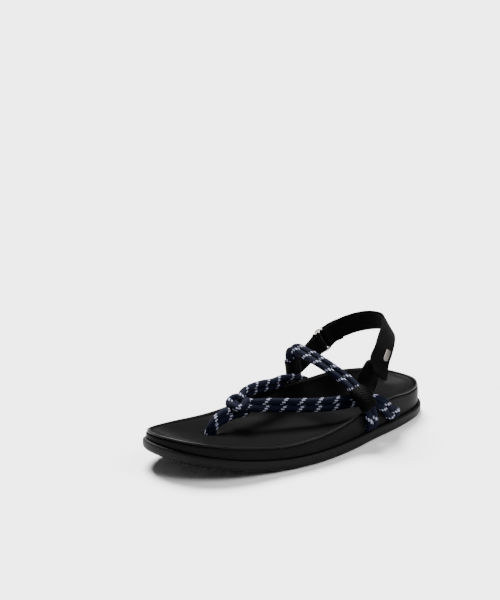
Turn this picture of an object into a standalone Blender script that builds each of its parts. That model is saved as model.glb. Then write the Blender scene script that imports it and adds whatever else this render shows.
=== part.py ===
"""Rope sandal for the left foot, standing empty on its sole.

Metres, +Z up. The toe points along -Y and the lateral side of the foot is +X. The origin is on the ground,
under the middle of the outsole's length and width.
"""
from bisect import bisect_right
from math import acos, ceil, cos, pi, sin, sqrt, tau

import bmesh
import bpy
from mathutils import Vector

# Sole
LENGTH = 0.290
BALL_WIDTH = 0.1075
OUTSOLE_THICKNESS = 0.0092
OUTSOLE_LIP = 0.003
OUTSOLE_ROUNDING = 0.0022
TREAD_ROUNDING = 0.0034
TOE_SPRING = 0.016
RIM_RISE = 0.0275
FOOTBED_THICKNESS = 0.0022
BEAD_RISE = 0.0018
FOOTBED_STEP = 0.0008
EDGE_ROUNDING = 0.0010
CUP_WIDTH = 0.018
ARCH_WIDTH = 0.030

# Cords
CORD_DIAMETER = 0.006
CORD_SEAT = 0.010
PAIR_PITCH = 0.0058
INSTEP_RISE = 0.045
CLEARANCE = 0.0003
CORD_PLAY = 0.0007

# Webbing, heel strap and metal
WEBBING_WIDTH = 0.019
WEBBING_THICKNESS = 0.0016
STRAP_WIDTH = 0.020
STRAP_THICKNESS = 0.003
RING_WIRE = 0.0024
RING_PITCH = 0.0069
PLATE_LENGTH = 0.013
PLATE_WIDTH = 0.0055
PLATE_THICKNESS = 0.001

# How finely the shapes are cut
OUTLINE_POINTS = 56
CORD_STEP = 0.0065
HITCH_STEP = 0.6
STRAP_STEP = 0.007

# Outline of the outsole. Columns: along (share of LENGTH from the heel), lateral edge and medial edge
# (shares of BALL_WIDTH from the line through heel and second toe).
OUTLINE = (
    (0.020, 0.150, -0.212),
    (0.086, 0.300, -0.312),
    (0.207, 0.404, -0.330),
    (0.362, 0.484, -0.326),
    (0.440, 0.530, -0.346),
    (0.517, 0.560, -0.384),
    (0.600, 0.568, -0.430),
    (0.655, 0.556, -0.454),
    (0.759, 0.507, -0.486),
    (0.879, 0.402, -0.470),
    (0.965, 0.205, -0.370),
)
HEEL_TIP = -0.014
TOE_TIP = -0.110

# Heights over the outsole, as shares of RIM_RISE. Columns: along, lateral rim, medial rim, middle of the bed.
FOOTBED = (
    (0.00, 0.55, 0.57, 0.40),
    (0.14, 0.61, 0.83, 0.35),
    (0.27, 0.72, 0.97, 0.33),
    (0.34, 0.57, 0.96, 0.31),
    (0.41, 0.64, 0.94, 0.29),
    (0.48, 0.54, 0.92, 0.27),
    (0.55, 0.45, 0.77, 0.25),
    (0.62, 0.40, 0.59, 0.24),
    (0.69, 0.35, 0.47, 0.24),
    (0.83, 0.34, 0.32, 0.22),
    (0.93, 0.31, 0.22, 0.20),
    (1.00, 0.26, 0.19, 0.18),
)

# Lift of the whole sole. Columns: along, lift (share of TOE_SPRING).
SPRING = (
    (0.00, 0.00),
    (0.50, 0.00),
    (0.60, 0.00),
    (0.69, 0.04),
    (0.76, 0.155),
    (0.83, 0.34),
    (0.91, 0.62),
    (1.00, 1.00),
)

# Where the doubled cords enter the sides of the midsole, and the toe cord its top (shares of LENGTH, and of
# BALL_WIDTH for the toe cord's place across).
REAR_POCKET = 0.250
FRONT_POCKET = 0.365
TOE_HOLE = 0.796
TOE_HOLE_ACROSS = -0.112

# Middle line of the V cord from the lateral to the medial rim, over the knot. Columns: across (share of
# BALL_WIDTH), along (share of LENGTH), up (share of INSTEP_RISE over the forefoot's bed), then the
# direction from the lower to the upper strand (sideways, towards the toe, up).
V_CORD = (
    (0.386, 0.359, 0.408, -0.2, -0.1, 1.0),
    (0.326, 0.376, 0.400, -0.3, -0.1, 1.0),
    (0.293, 0.406, 0.386, -0.3, -0.1, 1.0),
    (0.205, 0.477, 0.380, -0.3, -0.1, 1.0),
    (0.121, 0.528, 0.398, -0.3, -0.1, 1.0),
    (0.000, 0.605, 0.440, -0.4, -0.1, 1.0),
    (-0.060, 0.655, 0.476, -0.5, -0.5, 0.7),
    (-0.116, 0.683, 0.531, 0.0, -0.8, 0.6),
    (-0.172, 0.664, 0.593, 0.5, -0.5, 0.7),
    (-0.212, 0.614, 0.611, 0.3, 0.0, 1.0),
    (-0.242, 0.553, 0.598, 0.3, 0.0, 1.0),
    (-0.260, 0.503, 0.567, 0.3, 0.0, 1.0),
    (-0.274, 0.462, 0.589, 0.4, 0.0, 1.0),
    (-0.290, 0.428, 0.612, 0.8, 0.0, 0.6),
    (-0.314, 0.395, 0.632, 1.0, 0.0, 0.3),
    (-0.340, 0.366, 0.592, 0.9, 0.0, 0.5),
    (-0.352, 0.343, 0.464, 0.4, 0.0, 0.9),
    (-0.350, 0.322, 0.331, 0.1, -0.2, 1.0),
)

# Middle line of the instep cord from the lateral to the medial side. Columns as above, the direction being
# from the front to the rear strand.
INSTEP_CORD = (
    (0.507, 0.376, 0.251, 0.1, -1.0, 0.1),
    (0.498, 0.383, 0.396, 0.1, -1.0, 0.2),
    (0.474, 0.387, 0.487, 0.1, -1.0, 0.3),
    (0.437, 0.390, 0.569, 0.1, -1.0, 0.4),
    (0.353, 0.388, 0.678, 0.1, -1.0, 0.4),
    (0.232, 0.384, 0.784, 0.1, -1.0, 0.4),
    (0.110, 0.389, 0.900, 0.1, -1.0, 0.4),
    (-0.020, 0.387, 0.975, 0.0, -1.0, 0.4),
    (-0.150, 0.379, 1.005, -0.1, -1.0, 0.4),
    (-0.280, 0.374, 1.040, -0.1, -1.0, 0.3),
    (-0.365, 0.376, 1.065, -0.1, -1.0, 0.3),
    (-0.415, 0.382, 1.030, -0.1, -1.0, 0.2),
    (-0.438, 0.382, 0.930, -0.1, -1.0, 0.2),
    (-0.446, 0.374, 0.770, -0.1, -1.0, 0.1),
    (-0.453, 0.364, 0.560, -0.1, -1.0, 0.1),
    (-0.436, 0.360, 0.330, 0.0, -1.0, 0.0),
)
LATERAL_SLEEVE = 0.205
MEDIAL_SLEEVE = 0.775

# Middle line of the toe cord, which is hitched round the V cord. Columns: across, along, up as above.
TOE_CORD = (
    (-0.112, 0.806, 0.080),
    (-0.112, 0.797, 0.215),
    (-0.118, 0.775, 0.338),
    (-0.126, 0.750, 0.420),
    (-0.140, 0.708, 0.385),
    (-0.165, 0.679, 0.351),
    (-0.153, 0.648, 0.387),
    (-0.138, 0.640, 0.509),
    (-0.163, 0.650, 0.631),
    (-0.200, 0.668, 0.645),
    (-0.210, 0.690, 0.590),
    (-0.171, 0.705, 0.531),
    (-0.090, 0.707, 0.513),
    (-0.038, 0.702, 0.488),
    (-0.020, 0.687, 0.520),
    (-0.045, 0.667, 0.585),
    (-0.079, 0.647, 0.587),
    (-0.102, 0.641, 0.464),
    (-0.093, 0.659, 0.353),
    (-0.098, 0.700, 0.335),
    (-0.108, 0.741, 0.290),
    (-0.112, 0.768, 0.240),
    (-0.112, 0.782, 0.160),
)

# Middle line of the heel strap from the ring to the tab's end. Columns: across, along, up as above, then
# the direction from its lower to its upper edge (sideways, towards the toe, up).
HEEL_STRAP = (
    (-0.400, 0.222, 1.055, 0.0, 0.55, 0.83),
    (-0.352, 0.192, 1.222, 0.0, 0.45, 0.90),
    (-0.279, 0.160, 1.333, 0.0, 0.40, 0.92),
    (-0.167, 0.142, 1.430, 0.0, 0.40, 0.92),
    (-0.037, 0.138, 1.490, 0.0, 0.45, 0.90),
    (0.093, 0.153, 1.510, -0.1, 0.50, 0.85),
    (0.205, 0.191, 1.450, -0.2, 0.62, 0.77),
    (0.279, 0.229, 1.366, -0.3, 0.65, 0.70),
    (0.335, 0.262, 1.244, -0.25, 0.78, 0.55),
    (0.381, 0.297, 1.066, -0.30, 0.85, 0.45),
    (0.411, 0.307, 0.842, -0.07, 0.77, 0.64),
)

# Doubled webbing from the lateral sleeve up under the tab. Columns: across, along, up as above, then the
# direction across the webbing (sideways, towards the toe, up).
LATERAL_BAND = (
    (0.409, 0.3655, 0.669, -0.93, 0.03, 0.34),
    (0.386, 0.344, 0.795, -0.70, 0.50, 0.55),
    (0.362, 0.325, 0.900, -0.30, 0.75, 0.65),
    (0.350, 0.314, 0.965, -0.10, 0.78, 0.62),
)
PLATE_PLACE = 0.855
PLATE_DROP = 0.22
RING_PLACE = (-0.409, 0.237, 1.040)
RING_ACROSS = (0.0, 0.555, 0.832)


def curve(keys, values, at):
    """Value of the smooth curve through (key, value) pairs; values are numbers or vectors."""
    last = len(keys) - 1
    i = min(max(bisect_right(keys, at) - 1, 0), last - 1)

    def chord(j):
        return (values[j + 1] - values[j]) / (keys[j + 1] - keys[j])

    def slope(j):
        if j == 0:
            return chord(0)
        if j == last:
            return chord(last - 1)
        before = keys[j] - keys[j - 1]
        after = keys[j + 1] - keys[j]
        return (chord(j - 1) * after + chord(j) * before) / (before + after)

    span = keys[i + 1] - keys[i]
    t = (at - keys[i]) / span
    return (values[i] * (2 * t**3 - 3 * t**2 + 1) + slope(i) * span * (t**3 - 2 * t**2 + t)
            + values[i + 1] * (3 * t**2 - 2 * t**3) + slope(i + 1) * span * (t**3 - t**2))


def column(table, index, at):
    """One column of a table whose first column is the place along the sole."""
    return curve([row[0] for row in table], [row[index] for row in table], at)


def smoothstep(t):
    t = min(max(t, 0.0), 1.0)
    return t * t * (3 - 2 * t)


def outline_x(turn):
    """Sideways place of the outsole's edge; turn is 0 at the heel, pi at the toe, lateral side first."""
    lateral = [(acos(1 - 2 * along), edge) for along, edge, _ in OUTLINE]
    medial = [(tau - acos(1 - 2 * along), edge) for along, _, edge in reversed(OUTLINE)]
    ring = [(0.0, HEEL_TIP)] + lateral + [(pi, TOE_TIP)] + medial
    before = [(turn_at - tau, edge) for turn_at, edge in ring[-2:]]
    after = [(turn_at + tau, edge) for turn_at, edge in ring[:2]]
    ring = before + ring + after
    return BALL_WIDTH * curve([row[0] for row in ring], [row[1] for row in ring], turn % tau)


def outline_turns():
    return [tau * k / OUTLINE_POINTS for k in range(OUTLINE_POINTS)]


EDGES = [outline_x(turn) for turn in outline_turns()]
AXIS_X = -(max(EDGES) + min(EDGES)) / 2
FOREFOOT_TOP = OUTSOLE_THICKNESS + 0.25 * RIM_RISE


def outline(turn, inset=0.0):
    """Point of the outsole's outline, moved inwards by inset."""
    def point(at):
        return Vector((AXIS_X + outline_x(at), LENGTH / 2 * cos(at)))

    small = 0.01
    ahead = point(turn + small) - point(turn - small)
    outward = Vector((-ahead.y, ahead.x)).normalized()
    return point(turn) + outward * -inset


def wall_x(side, along, inset):
    """Sideways place of the sole's wall on the lateral (+1) or medial (-1) side."""
    turn = acos(1 - 2 * along)
    return outline(turn if side > 0 else tau - turn, inset).x


def spring(y):
    """Lift of the sole at a place along it; the heel and the ball lie flat."""
    return TOE_SPRING * max(column(SPRING, 1, min(max(0.5 - y / LENGTH, 0.0), 1.0)), 0.0)


RIM_INSET = OUTSOLE_LIP + FOOTBED_STEP


def inset_of(point, known=None):
    """Distance of a point from the outsole's edge."""
    if known is not None:
        return known
    return min((point - edge).length for edge in FINE_EDGE)


FINE_EDGE = [outline(tau * k / (4 * OUTLINE_POINTS)) for k in range(4 * OUTLINE_POINTS)]


def bed_height(point, inset=None):
    """Height of the footbed's top at a point of the plan."""
    along = min(max(0.5 - point.y / LENGTH, 0.0), 1.0)
    turn = acos(1 - 2 * along)
    lateral_x = AXIS_X + outline_x(turn)
    medial_x = AXIS_X + outline_x(tau - turn)
    width = max(lateral_x - medial_x, BALL_WIDTH / 2)
    side = smoothstep((point.x - (lateral_x + medial_x) / 2) / width + 0.5)
    rim = column(FOOTBED, 2, along) * (1 - side) + column(FOOTBED, 1, along) * side
    middle = column(FOOTBED, 3, along)
    reach = ARCH_WIDTH * (1 - side) + CUP_WIDTH * side
    depth = min(max((inset_of(point, inset) - RIM_INSET) / reach, 0.0), 1.0)
    share = middle + (rim - middle) * (1 - depth) ** 2
    return OUTSOLE_THICKNESS + BEAD_RISE + spring(point.y) + RIM_RISE * share


def place(row):
    """World point of a table row that starts with across, along and up."""
    across, along, up = row[:3]
    return Vector((AXIS_X + across * BALL_WIDTH, LENGTH * (0.5 - along), FOREFOOT_TOP + up * INSTEP_RISE))


def heading(sideways, toewards, upwards):
    return Vector((sideways, -toewards, upwards)).normalized()


def material(name, color, roughness, metallic=0.0):
    made = bpy.data.materials.new(name)
    made.use_nodes = True
    shader = made.node_tree.nodes["Principled BSDF"]
    shader.inputs["Base Color"].default_value = (*color, 1.0)
    shader.inputs["Roughness"].default_value = roughness
    shader.inputs["Metallic"].default_value = metallic
    return made


def finish(name, mesh, surface, smooth=True):
    """Object from a bmesh, with its faces turned outwards."""
    bmesh.ops.recalc_face_normals(mesh, faces=mesh.faces)
    data = bpy.data.meshes.new(name)
    mesh.to_mesh(data)
    mesh.free()
    if smooth:
        data.shade_smooth()
        data.set_sharp_from_angle(angle=pi / 5)
    made = bpy.data.objects.new(name, data)
    bpy.context.scene.collection.objects.link(made)
    if surface is not None:
        data.materials.append(surface)
    return made


def combine(target, tool, operation):
    """Exact Boolean modifier on target; a cutter or a joined piece stays as a hidden guide."""
    tool.hide_render = True
    tool.display_type = "WIRE"
    change = target.modifiers.new(tool.name, "BOOLEAN")
    change.operation = operation
    change.solver = "EXACT"
    change.object = tool


def add_ring(mesh, inset, height):
    """Closed ring of vertices at an inset; height is a function of the plan point and the inset."""
    ring = []
    for turn in outline_turns():
        point = outline(turn, inset)
        ring.append(mesh.verts.new((point.x, point.y, height(point, inset))))
    return ring


def skin(mesh, lower, upper, crossed=False):
    """Triangles between two rings or sections with as many vertices; crossed cuts them the other way."""
    count = len(lower)
    for k in range(count):
        first, second = lower[k], lower[(k + 1) % count]
        third, fourth = upper[(k + 1) % count], upper[k]
        if crossed:
            mesh.faces.new((first, second, fourth))
            mesh.faces.new((second, third, fourth))
        else:
            mesh.faces.new((first, second, third))
            mesh.faces.new((first, third, fourth))


def fill_across(mesh, ring, height, columns):
    """Fill a ring with rows of quads from its lateral to its medial side."""
    half = len(ring) // 2
    rows = [[ring[0]] * (columns + 2)]
    for k in range(1, half):
        lateral, medial = ring[k], ring[-k]
        row = [lateral]
        for j in range(1, columns + 1):
            plan = lateral.co.lerp(medial.co, j / (columns + 1)).xy
            row.append(mesh.verts.new((plan.x, plan.y, height(plan, None))))
        rows.append(row + [medial])
    rows.append([ring[half]] * (columns + 2))
    for first, second in zip(rows, rows[1:]):
        for j in range(columns + 1):
            corners = list(dict.fromkeys((first[j], first[j + 1], second[j + 1], second[j])))
            mesh.faces.new(corners[:3])
            if len(corners) == 4:
                mesh.faces.new((corners[0], corners[2], corners[3]))


def corner(inset, height, radius, rising):
    """Rounded corner of a wall, as (inset, height) pairs; rising starts under the wall, else on its top."""
    turns = (pi / 2, pi / 4, 0.0) if rising else (0.0, pi / 4, pi / 2)
    side = -1 if rising else 1
    return [(inset + radius * (1 - cos(turn)), height - side * radius * (1 - sin(turn))) for turn in turns]


def outsole(surface):
    mesh = bmesh.new()
    rows = corner(0.0, 0.0, TREAD_ROUNDING, rising=True)
    rows += corner(0.0, OUTSOLE_THICKNESS, OUTSOLE_ROUNDING, rising=False)
    rings = []
    for inset, level in rows:
        rings.append(add_ring(mesh, inset, lambda point, _, level=level: level + spring(point.y)))
    for lower, upper in zip(rings, rings[1:]):
        skin(mesh, lower, upper)
    fill_across(mesh, rings[0], lambda point, _: spring(point.y), 1)
    fill_across(mesh, rings[-1], lambda point, _: OUTSOLE_THICKNESS + spring(point.y), 1)
    resting = [face for face in mesh.faces if all(vert.co.z == 0.0 for vert in face.verts)]
    bmesh.ops.dissolve_faces(mesh, faces=resting)
    return finish("outsole", mesh, surface)


def bed_rings(mesh, start, drop):
    """Rings of the footbed's form from the rim inwards, at a constant drop below its top."""
    def height(point, inset):
        return bed_height(point, inset) - drop

    reach = CUP_WIDTH
    rings = [add_ring(mesh, start + reach * share, height) for share in (0.25, 0.6, 1.05)]
    return rings, height


def midsole(surface):
    mesh = bmesh.new()
    base = OUTSOLE_THICKNESS + CLEARANCE
    under = FOOTBED_THICKNESS + CLEARANCE
    rings = []
    for inset, level in corner(OUTSOLE_LIP, base, EDGE_ROUNDING, rising=True):
        rings.append(add_ring(mesh, inset, lambda point, _, level=level: level + spring(point.y)))
    for inset, drop in corner(OUTSOLE_LIP, -under, EDGE_ROUNDING, rising=False):
        rings.append(add_ring(mesh, inset, lambda point, at, drop=drop: bed_height(point, at) + drop))
    inner, height = bed_rings(mesh, RIM_INSET + EDGE_ROUNDING, under)
    rings += inner
    for lower, upper in zip(rings, rings[1:]):
        skin(mesh, lower, upper)
    fill_across(mesh, rings[0], lambda point, _: base + spring(point.y), 1)
    fill_across(mesh, rings[-1], height, 2)
    return finish("midsole", mesh, surface)


def footbed(surface):
    mesh = bmesh.new()
    low = FOOTBED_THICKNESS
    rings, under = bed_rings(mesh, RIM_INSET + EDGE_ROUNDING, low)
    rings.reverse()
    for inset, drop in corner(RIM_INSET, -low, EDGE_ROUNDING, rising=True):
        rings.append(add_ring(mesh, inset, lambda point, at, drop=drop: bed_height(point, at) + drop))
    for inset, drop in corner(RIM_INSET, 0.0, EDGE_ROUNDING, rising=False):
        rings.append(add_ring(mesh, inset, lambda point, at, drop=drop: bed_height(point, at) + drop))
    inner, height = bed_rings(mesh, RIM_INSET + EDGE_ROUNDING, 0.0)
    below = len(rings) // 2
    rings += inner
    for k, (lower, upper) in enumerate(zip(rings, rings[1:])):
        skin(mesh, lower, upper, crossed=k < below)
    fill_across(mesh, rings[0], under, 2)
    fill_across(mesh, rings[-1], height, 2)
    return finish("footbed", mesh, surface)


def line_through(points):
    """Smooth line through points: its length and a function that gives points and headings along it."""
    keys = [0.0]
    for first, second in zip(points, points[1:]):
        keys.append(keys[-1] + (second - first).length)

    def at(distance):
        distance = min(max(distance, 0.0), keys[-1])
        small = keys[-1] * 0.002
        ahead = curve(keys, points, min(distance + small, keys[-1]))
        behind = curve(keys, points, max(distance - small, 0.0))
        return curve(keys, points, distance), (ahead - behind).normalized()

    return keys, at


def steps(length, step):
    count = max(ceil(length / step), 2)
    return [length * k / count for k in range(count + 1)]


def sweep(mesh, sections):
    """Closed skin over sections that have as many points each."""
    rings = [[mesh.verts.new(point) for point in section] for section in sections]
    for lower, upper in zip(rings, rings[1:]):
        skin(mesh, lower, upper)
    mesh.faces.new(reversed(rings[0]))
    mesh.faces.new(rings[-1])


def round_section(center, along, radius, sides):
    side = along.orthogonal().normalized()
    up = along.cross(side)
    return [center + (side * cos(tau * k / sides) + up * sin(tau * k / sides)) * radius for k in range(sides)]


def pair_section(center, pair, out, radius):
    """Section of two strands side by side, as one outline."""
    half = [(PAIR_PITCH / 2 + radius * cos(turn), radius * sin(turn))
            for turn in (-0.66 * pi, -0.42 * pi, -0.18 * pi, 0.0, 0.18 * pi, 0.42 * pi, 0.66 * pi)]
    outline_points = half + [(-x, -y) for x, y in half]
    return [center + pair * x + out * y for x, y in outline_points]


def square_to(vector, along):
    return (vector - along * vector.dot(along)).normalized()


def pair_path(rows_before, table, rows_after):
    """Points and strand directions of a doubled cord, from sole to sole."""
    points = [point for point, _ in rows_before]
    pairs = [pair for _, pair in rows_before]
    for row in table:
        points.append(place(row))
        pairs.append(heading(*row[3:]))
    points += [point for point, _ in rows_after]
    pairs += [pair for _, pair in rows_after]
    return points, pairs


def sweep_pair(mesh, points, pairs):
    keys, at = line_through(points)
    sections = []
    for distance in steps(keys[-1], CORD_STEP):
        center, along = at(distance)
        pair = square_to(curve(keys, pairs, distance), along)
        sections.append(pair_section(center, pair, along.cross(pair), CORD_DIAMETER / 2))
    sweep(mesh, sections)


def pocket_rows(side, along, climbing):
    """Where a doubled cord leaves its pocket in the midsole's side and climbs its wall."""
    wall = wall_x(side, along, OUTSOLE_LIP)
    y = LENGTH * (0.5 - along)
    seat = OUTSOLE_THICKNESS + CORD_DIAMETER / 2 + 2 * CLEARANCE
    radius = CORD_DIAMETER / 2
    outer = wall + side * (radius + 4 * CLEARANCE)
    rows = [
        (Vector((wall - side * CORD_SEAT, y, seat)), heading(0, climbing, 0)),
        (Vector((wall - side * radius, y, seat)), heading(0, climbing, 0)),
        (Vector((wall + side * radius * 0.5, y, seat + radius * 0.15)), heading(0, climbing, 0)),
        (Vector((outer, y, seat + radius * 1.3)), heading(0, climbing, 0.1)),
    ]
    return rows


def wall_row(side, along, up, out, pair):
    """A row beside the midsole's wall: out is its distance from the wall."""
    point = place((0, along, up))
    point.x = wall_x(side, along, OUTSOLE_LIP) + side * (CORD_DIAMETER / 2 + out)
    return point, pair


def v_cord_path():
    before = pocket_rows(1, REAR_POCKET, -1)
    before.append(wall_row(1, 0.276, 0.10, 0.0020, heading(0, -1.0, 0.5)))
    before.append(wall_row(1, 0.300, 0.24, 0.0020, heading(0, -0.7, 0.7)))
    before.append(wall_row(1, 0.319, 0.345, 0.0014, heading(-0.1, -0.4, 1.0)))
    after = [wall_row(-1, 0.298, 0.20, 0.0020, heading(0, -0.7, 0.7)),
             wall_row(-1, 0.272, 0.08, 0.0020, heading(0, -1.0, 0.5))]
    after += reversed(pocket_rows(-1, REAR_POCKET, -1))
    return pair_path(before, V_CORD, after)


def instep_cord_path():
    before = pocket_rows(1, FRONT_POCKET, -1)
    before.append(wall_row(1, 0.371, 0.09, 0.0018, heading(0, -1.0, 0.1)))
    after = [wall_row(-1, 0.364, 0.15, 0.0045, heading(0, -1.0, 0.0))]
    after += reversed(pocket_rows(-1, FRONT_POCKET, -1))
    return pair_path(before, INSTEP_CORD, after)


def toe_cord_points():
    front = LENGTH * (0.5 - TOE_HOLE) - 2 * CORD_DIAMETER
    bottom = OUTSOLE_THICKNESS + spring(front) + CLEARANCE
    points = [place(row) for row in TOE_CORD]
    apart = (CORD_DIAMETER + CLEARANCE) / 2
    hole = toe_hole_place()
    first = Vector((hole.x, hole.y - apart, bottom))
    last = Vector((hole.x, hole.y + apart, bottom))
    return [first] + points + [last]


def toe_hole_place():
    return Vector((AXIS_X + TOE_HOLE_ACROSS * BALL_WIDTH, LENGTH * (0.5 - TOE_HOLE)))


def front_rope(surface):
    mesh = bmesh.new()
    sweep_pair(mesh, *v_cord_path())
    rope = finish("front_rope", mesh, surface)
    mesh = bmesh.new()
    keys, at = line_through(toe_cord_points())
    sections = []
    side = Vector((1.0, 0.0, 0.0))
    for distance in steps(keys[-1], CORD_STEP * HITCH_STEP):
        center, along = at(distance)
        side = square_to(side, along)
        up = along.cross(side)
        sections.append([center + (side * cos(tau * k / 8) + up * sin(tau * k / 8)) * CORD_DIAMETER / 2
                         for k in range(8)])
    sweep(mesh, sections)
    combine(rope, finish("toe_cord_guide", mesh, None), "UNION")
    return rope


def instep_rope(surface):
    mesh = bmesh.new()
    sweep_pair(mesh, *instep_cord_path())
    return finish("instep_rope", mesh, surface)


def stadium(half_length, radius, sides=4):
    """Outline of a slot: two half rounds with straight sides, long along its first axis."""
    points = []
    for end in (1, -1):
        for k in range(sides + 1):
            turn = -pi / 2 + pi * k / sides
            points.append((end * (half_length + radius * cos(turn)), end * radius * sin(turn)))
    return points


def toe_hole_cutter():
    """Slot for both strands of the toe cord, through footbed and midsole."""
    mesh = bmesh.new()
    hole = toe_hole_place()
    half = (CORD_DIAMETER + CLEARANCE) / 2
    radius = CORD_DIAMETER / 2 + CORD_PLAY
    points = stadium(half, radius)
    top = OUTSOLE_THICKNESS + RIM_RISE + TOE_SPRING
    sweep(mesh, [[Vector((hole.x + y, hole.y - x, z)) for x, y in points] for z in (0.0, top)])
    return finish("toe_hole_guide", mesh, None)


def pocket_cutter(name, side, along):
    """Pocket for a doubled cord in the midsole's side, open below and outwards."""
    mesh = bmesh.new()
    wall = wall_x(side, along, OUTSOLE_LIP)
    y = LENGTH * (0.5 - along)
    radius = CORD_DIAMETER / 2 + CORD_PLAY
    half = PAIR_PITCH / 2
    top = OUTSOLE_THICKNESS + CORD_DIAMETER / 2 + 2 * CLEARANCE
    profile = [(half + radius, top - 3 * radius)]
    profile += [(half + radius * cos(turn), top + radius * sin(turn)) for turn in (0, pi / 6, pi / 3, pi / 2)]
    profile += [(-across, level) for across, level in reversed(profile)]
    depth = CORD_SEAT + CLEARANCE
    ends = (wall - side * depth, wall + side * depth)
    sweep(mesh, [[Vector((x, y + across, level)) for across, level in profile] for x in ends])
    return finish(name, mesh, None)


def strap_line(lift=0.0):
    """The heel strap's middle line: keys, place function and width directions; lift moves it outwards."""
    points = [place(row) for row in HEEL_STRAP]
    widths = [heading(*row[3:]) for row in HEEL_STRAP]
    keys, at = line_through(points)

    def frame(distance):
        center, along = at(distance)
        across = curve(keys, widths, distance).normalized()
        out = across.cross(along).normalized()
        return center + out * lift, along, across, out

    return keys, frame


def band_section(center, across, out, width, thickness):
    """Flat section with softened edges."""
    half = width / 2
    edge = thickness * 0.3
    profile = ((-half, -edge / 2), (-half + edge, -thickness / 2), (half - edge, -thickness / 2),
               (half, -edge / 2), (half, edge / 2), (half - edge, thickness / 2),
               (-half + edge, thickness / 2), (-half, edge / 2))
    return [center + across * x + out * y for x, y in profile]


def eye_thickness(distance, radius, thickness, tail):
    """Thickness of a band whose end is folded round a bar that lies at distance 0."""
    if distance <= 0:
        return max(2 * sqrt(max(radius**2 - distance**2, 0.0)), thickness * 0.3)
    return thickness + (2 * radius - thickness) * (1 - smoothstep(distance / tail))


EYE_STEPS = (-0.97, -0.8, -0.45, 0.0, 0.5, 1.1, 1.8)
EYE_TAIL = 2.4


def bar_cutter(name, center, direction, length):
    mesh = bmesh.new()
    radius = RING_WIRE / 2 + 2 * CLEARANCE
    ends = (center - direction * length, center + direction * length)
    sweep(mesh, [round_section(end, direction, radius, 12) for end in ends])
    return finish(name, mesh, None)


def ring_frame():
    """Middle of the ring, its direction along the bars and the direction from the webbing to the strap."""
    center = place(RING_PLACE)
    bars = heading(*RING_ACROSS)
    _, frame = strap_line()
    start = frame(0.0)[0]
    onwards = square_to(start - center, bars)
    return center, bars, onwards


def heel_strap(surface):
    """Strap from its fold round the ring, behind the heel and down to the slanted end of its tab."""
    center, bars, onwards = ring_frame()
    bar = center + onwards * RING_PITCH / 2
    radius = RING_WIRE / 2 + CLEARANCE + STRAP_THICKNESS * 0.6
    points = [bar - onwards * radius, bar, bar + onwards * radius * EYE_TAIL]
    points += [place(row) for row in HEEL_STRAP[1:]]
    widths = [bars, bars, bars] + [heading(*row[3:]) for row in HEEL_STRAP[1:]]
    own_keys, at = line_through(points)
    mesh = bmesh.new()
    distances = [radius * (1 + share) for share in EYE_STEPS]
    rest = own_keys[-1] - distances[-1]
    distances += [distances[-1] + step for step in steps(rest, STRAP_STEP)[1:]]
    sections = []
    for distance in distances:
        middle, along = at(distance)
        across = curve(own_keys, widths, distance).normalized()
        out = across.cross(along).normalized()
        thick = eye_thickness(distance - radius, radius, STRAP_THICKNESS, radius * EYE_TAIL)
        sections.append(band_section(middle, across, out, STRAP_WIDTH, thick))
    sweep(mesh, sections)
    strap = finish("heel_strap", mesh, surface)
    combine(strap, bar_cutter("strap_bar_guide", bar, bars, STRAP_WIDTH), "DIFFERENCE")
    return strap


def sleeve_frame(share):
    """Middle of the instep cord at a share of its length, with its heading and strand directions."""
    points, pairs = instep_cord_path()
    keys, at = line_through(points)
    center, along = at(keys[-1] * share)
    pair = square_to(curve(keys, pairs, keys[-1] * share), along)
    return keys, at, pairs, center, along, pair


def add_sleeve(mesh, share):
    """Webbing round the doubled instep cord: an open tube that follows it."""
    keys, at, pairs, _, _, _ = sleeve_frame(share)
    middle = keys[-1] * share
    hole = []
    shell = []
    for distance in steps(WEBBING_WIDTH, WEBBING_WIDTH / 3):
        center, along = at(middle - WEBBING_WIDTH / 2 + distance)
        pair = square_to(curve(keys, pairs, middle - WEBBING_WIDTH / 2 + distance), along)
        out = along.cross(pair)
        radius = CORD_DIAMETER / 2 + CORD_PLAY
        for points, size in ((hole, radius), (shell, radius + WEBBING_THICKNESS)):
            section = stadium(PAIR_PITCH / 2, size)
            points.append([mesh.verts.new(center + pair * x + out * y) for x, y in section])
    for lower, upper in zip(shell, shell[1:]):
        skin(mesh, lower, upper)
    for lower, upper in zip(hole, hole[1:]):
        skin(mesh, upper, lower)
    skin(mesh, hole[0], shell[0])
    skin(mesh, shell[-1], hole[-1])


def band_object(name, points, widths, width, thicknesses, surface, start=None):
    """Flat band through points with its own width directions."""
    keys, at = line_through(points)
    mesh = bmesh.new()
    sections = []
    distances = steps(keys[-1], STRAP_STEP) if start is None else start
    for distance in distances:
        middle, along = at(distance)
        across = curve(keys, widths, distance).normalized()
        out = across.cross(along).normalized()
        sections.append(band_section(middle, across, out, width, thicknesses(distance)))
    sweep(mesh, sections)
    return finish(name, mesh, surface)


def lateral_loop(surface):
    """Sleeve round the instep cord with its doubled webbing running up under the tab of the heel strap."""
    double = 2 * WEBBING_THICKNESS
    points = [place(row) for row in LATERAL_BAND]
    widths = [heading(*row[3:]) for row in LATERAL_BAND]
    mesh = bmesh.new()
    add_sleeve(mesh, LATERAL_SLEEVE)
    loop = finish("lateral_loop", mesh, surface)
    band = band_object("lateral_band_guide", points, widths, WEBBING_WIDTH, lambda _: double, None)
    combine(loop, band, "UNION")
    return loop


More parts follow.
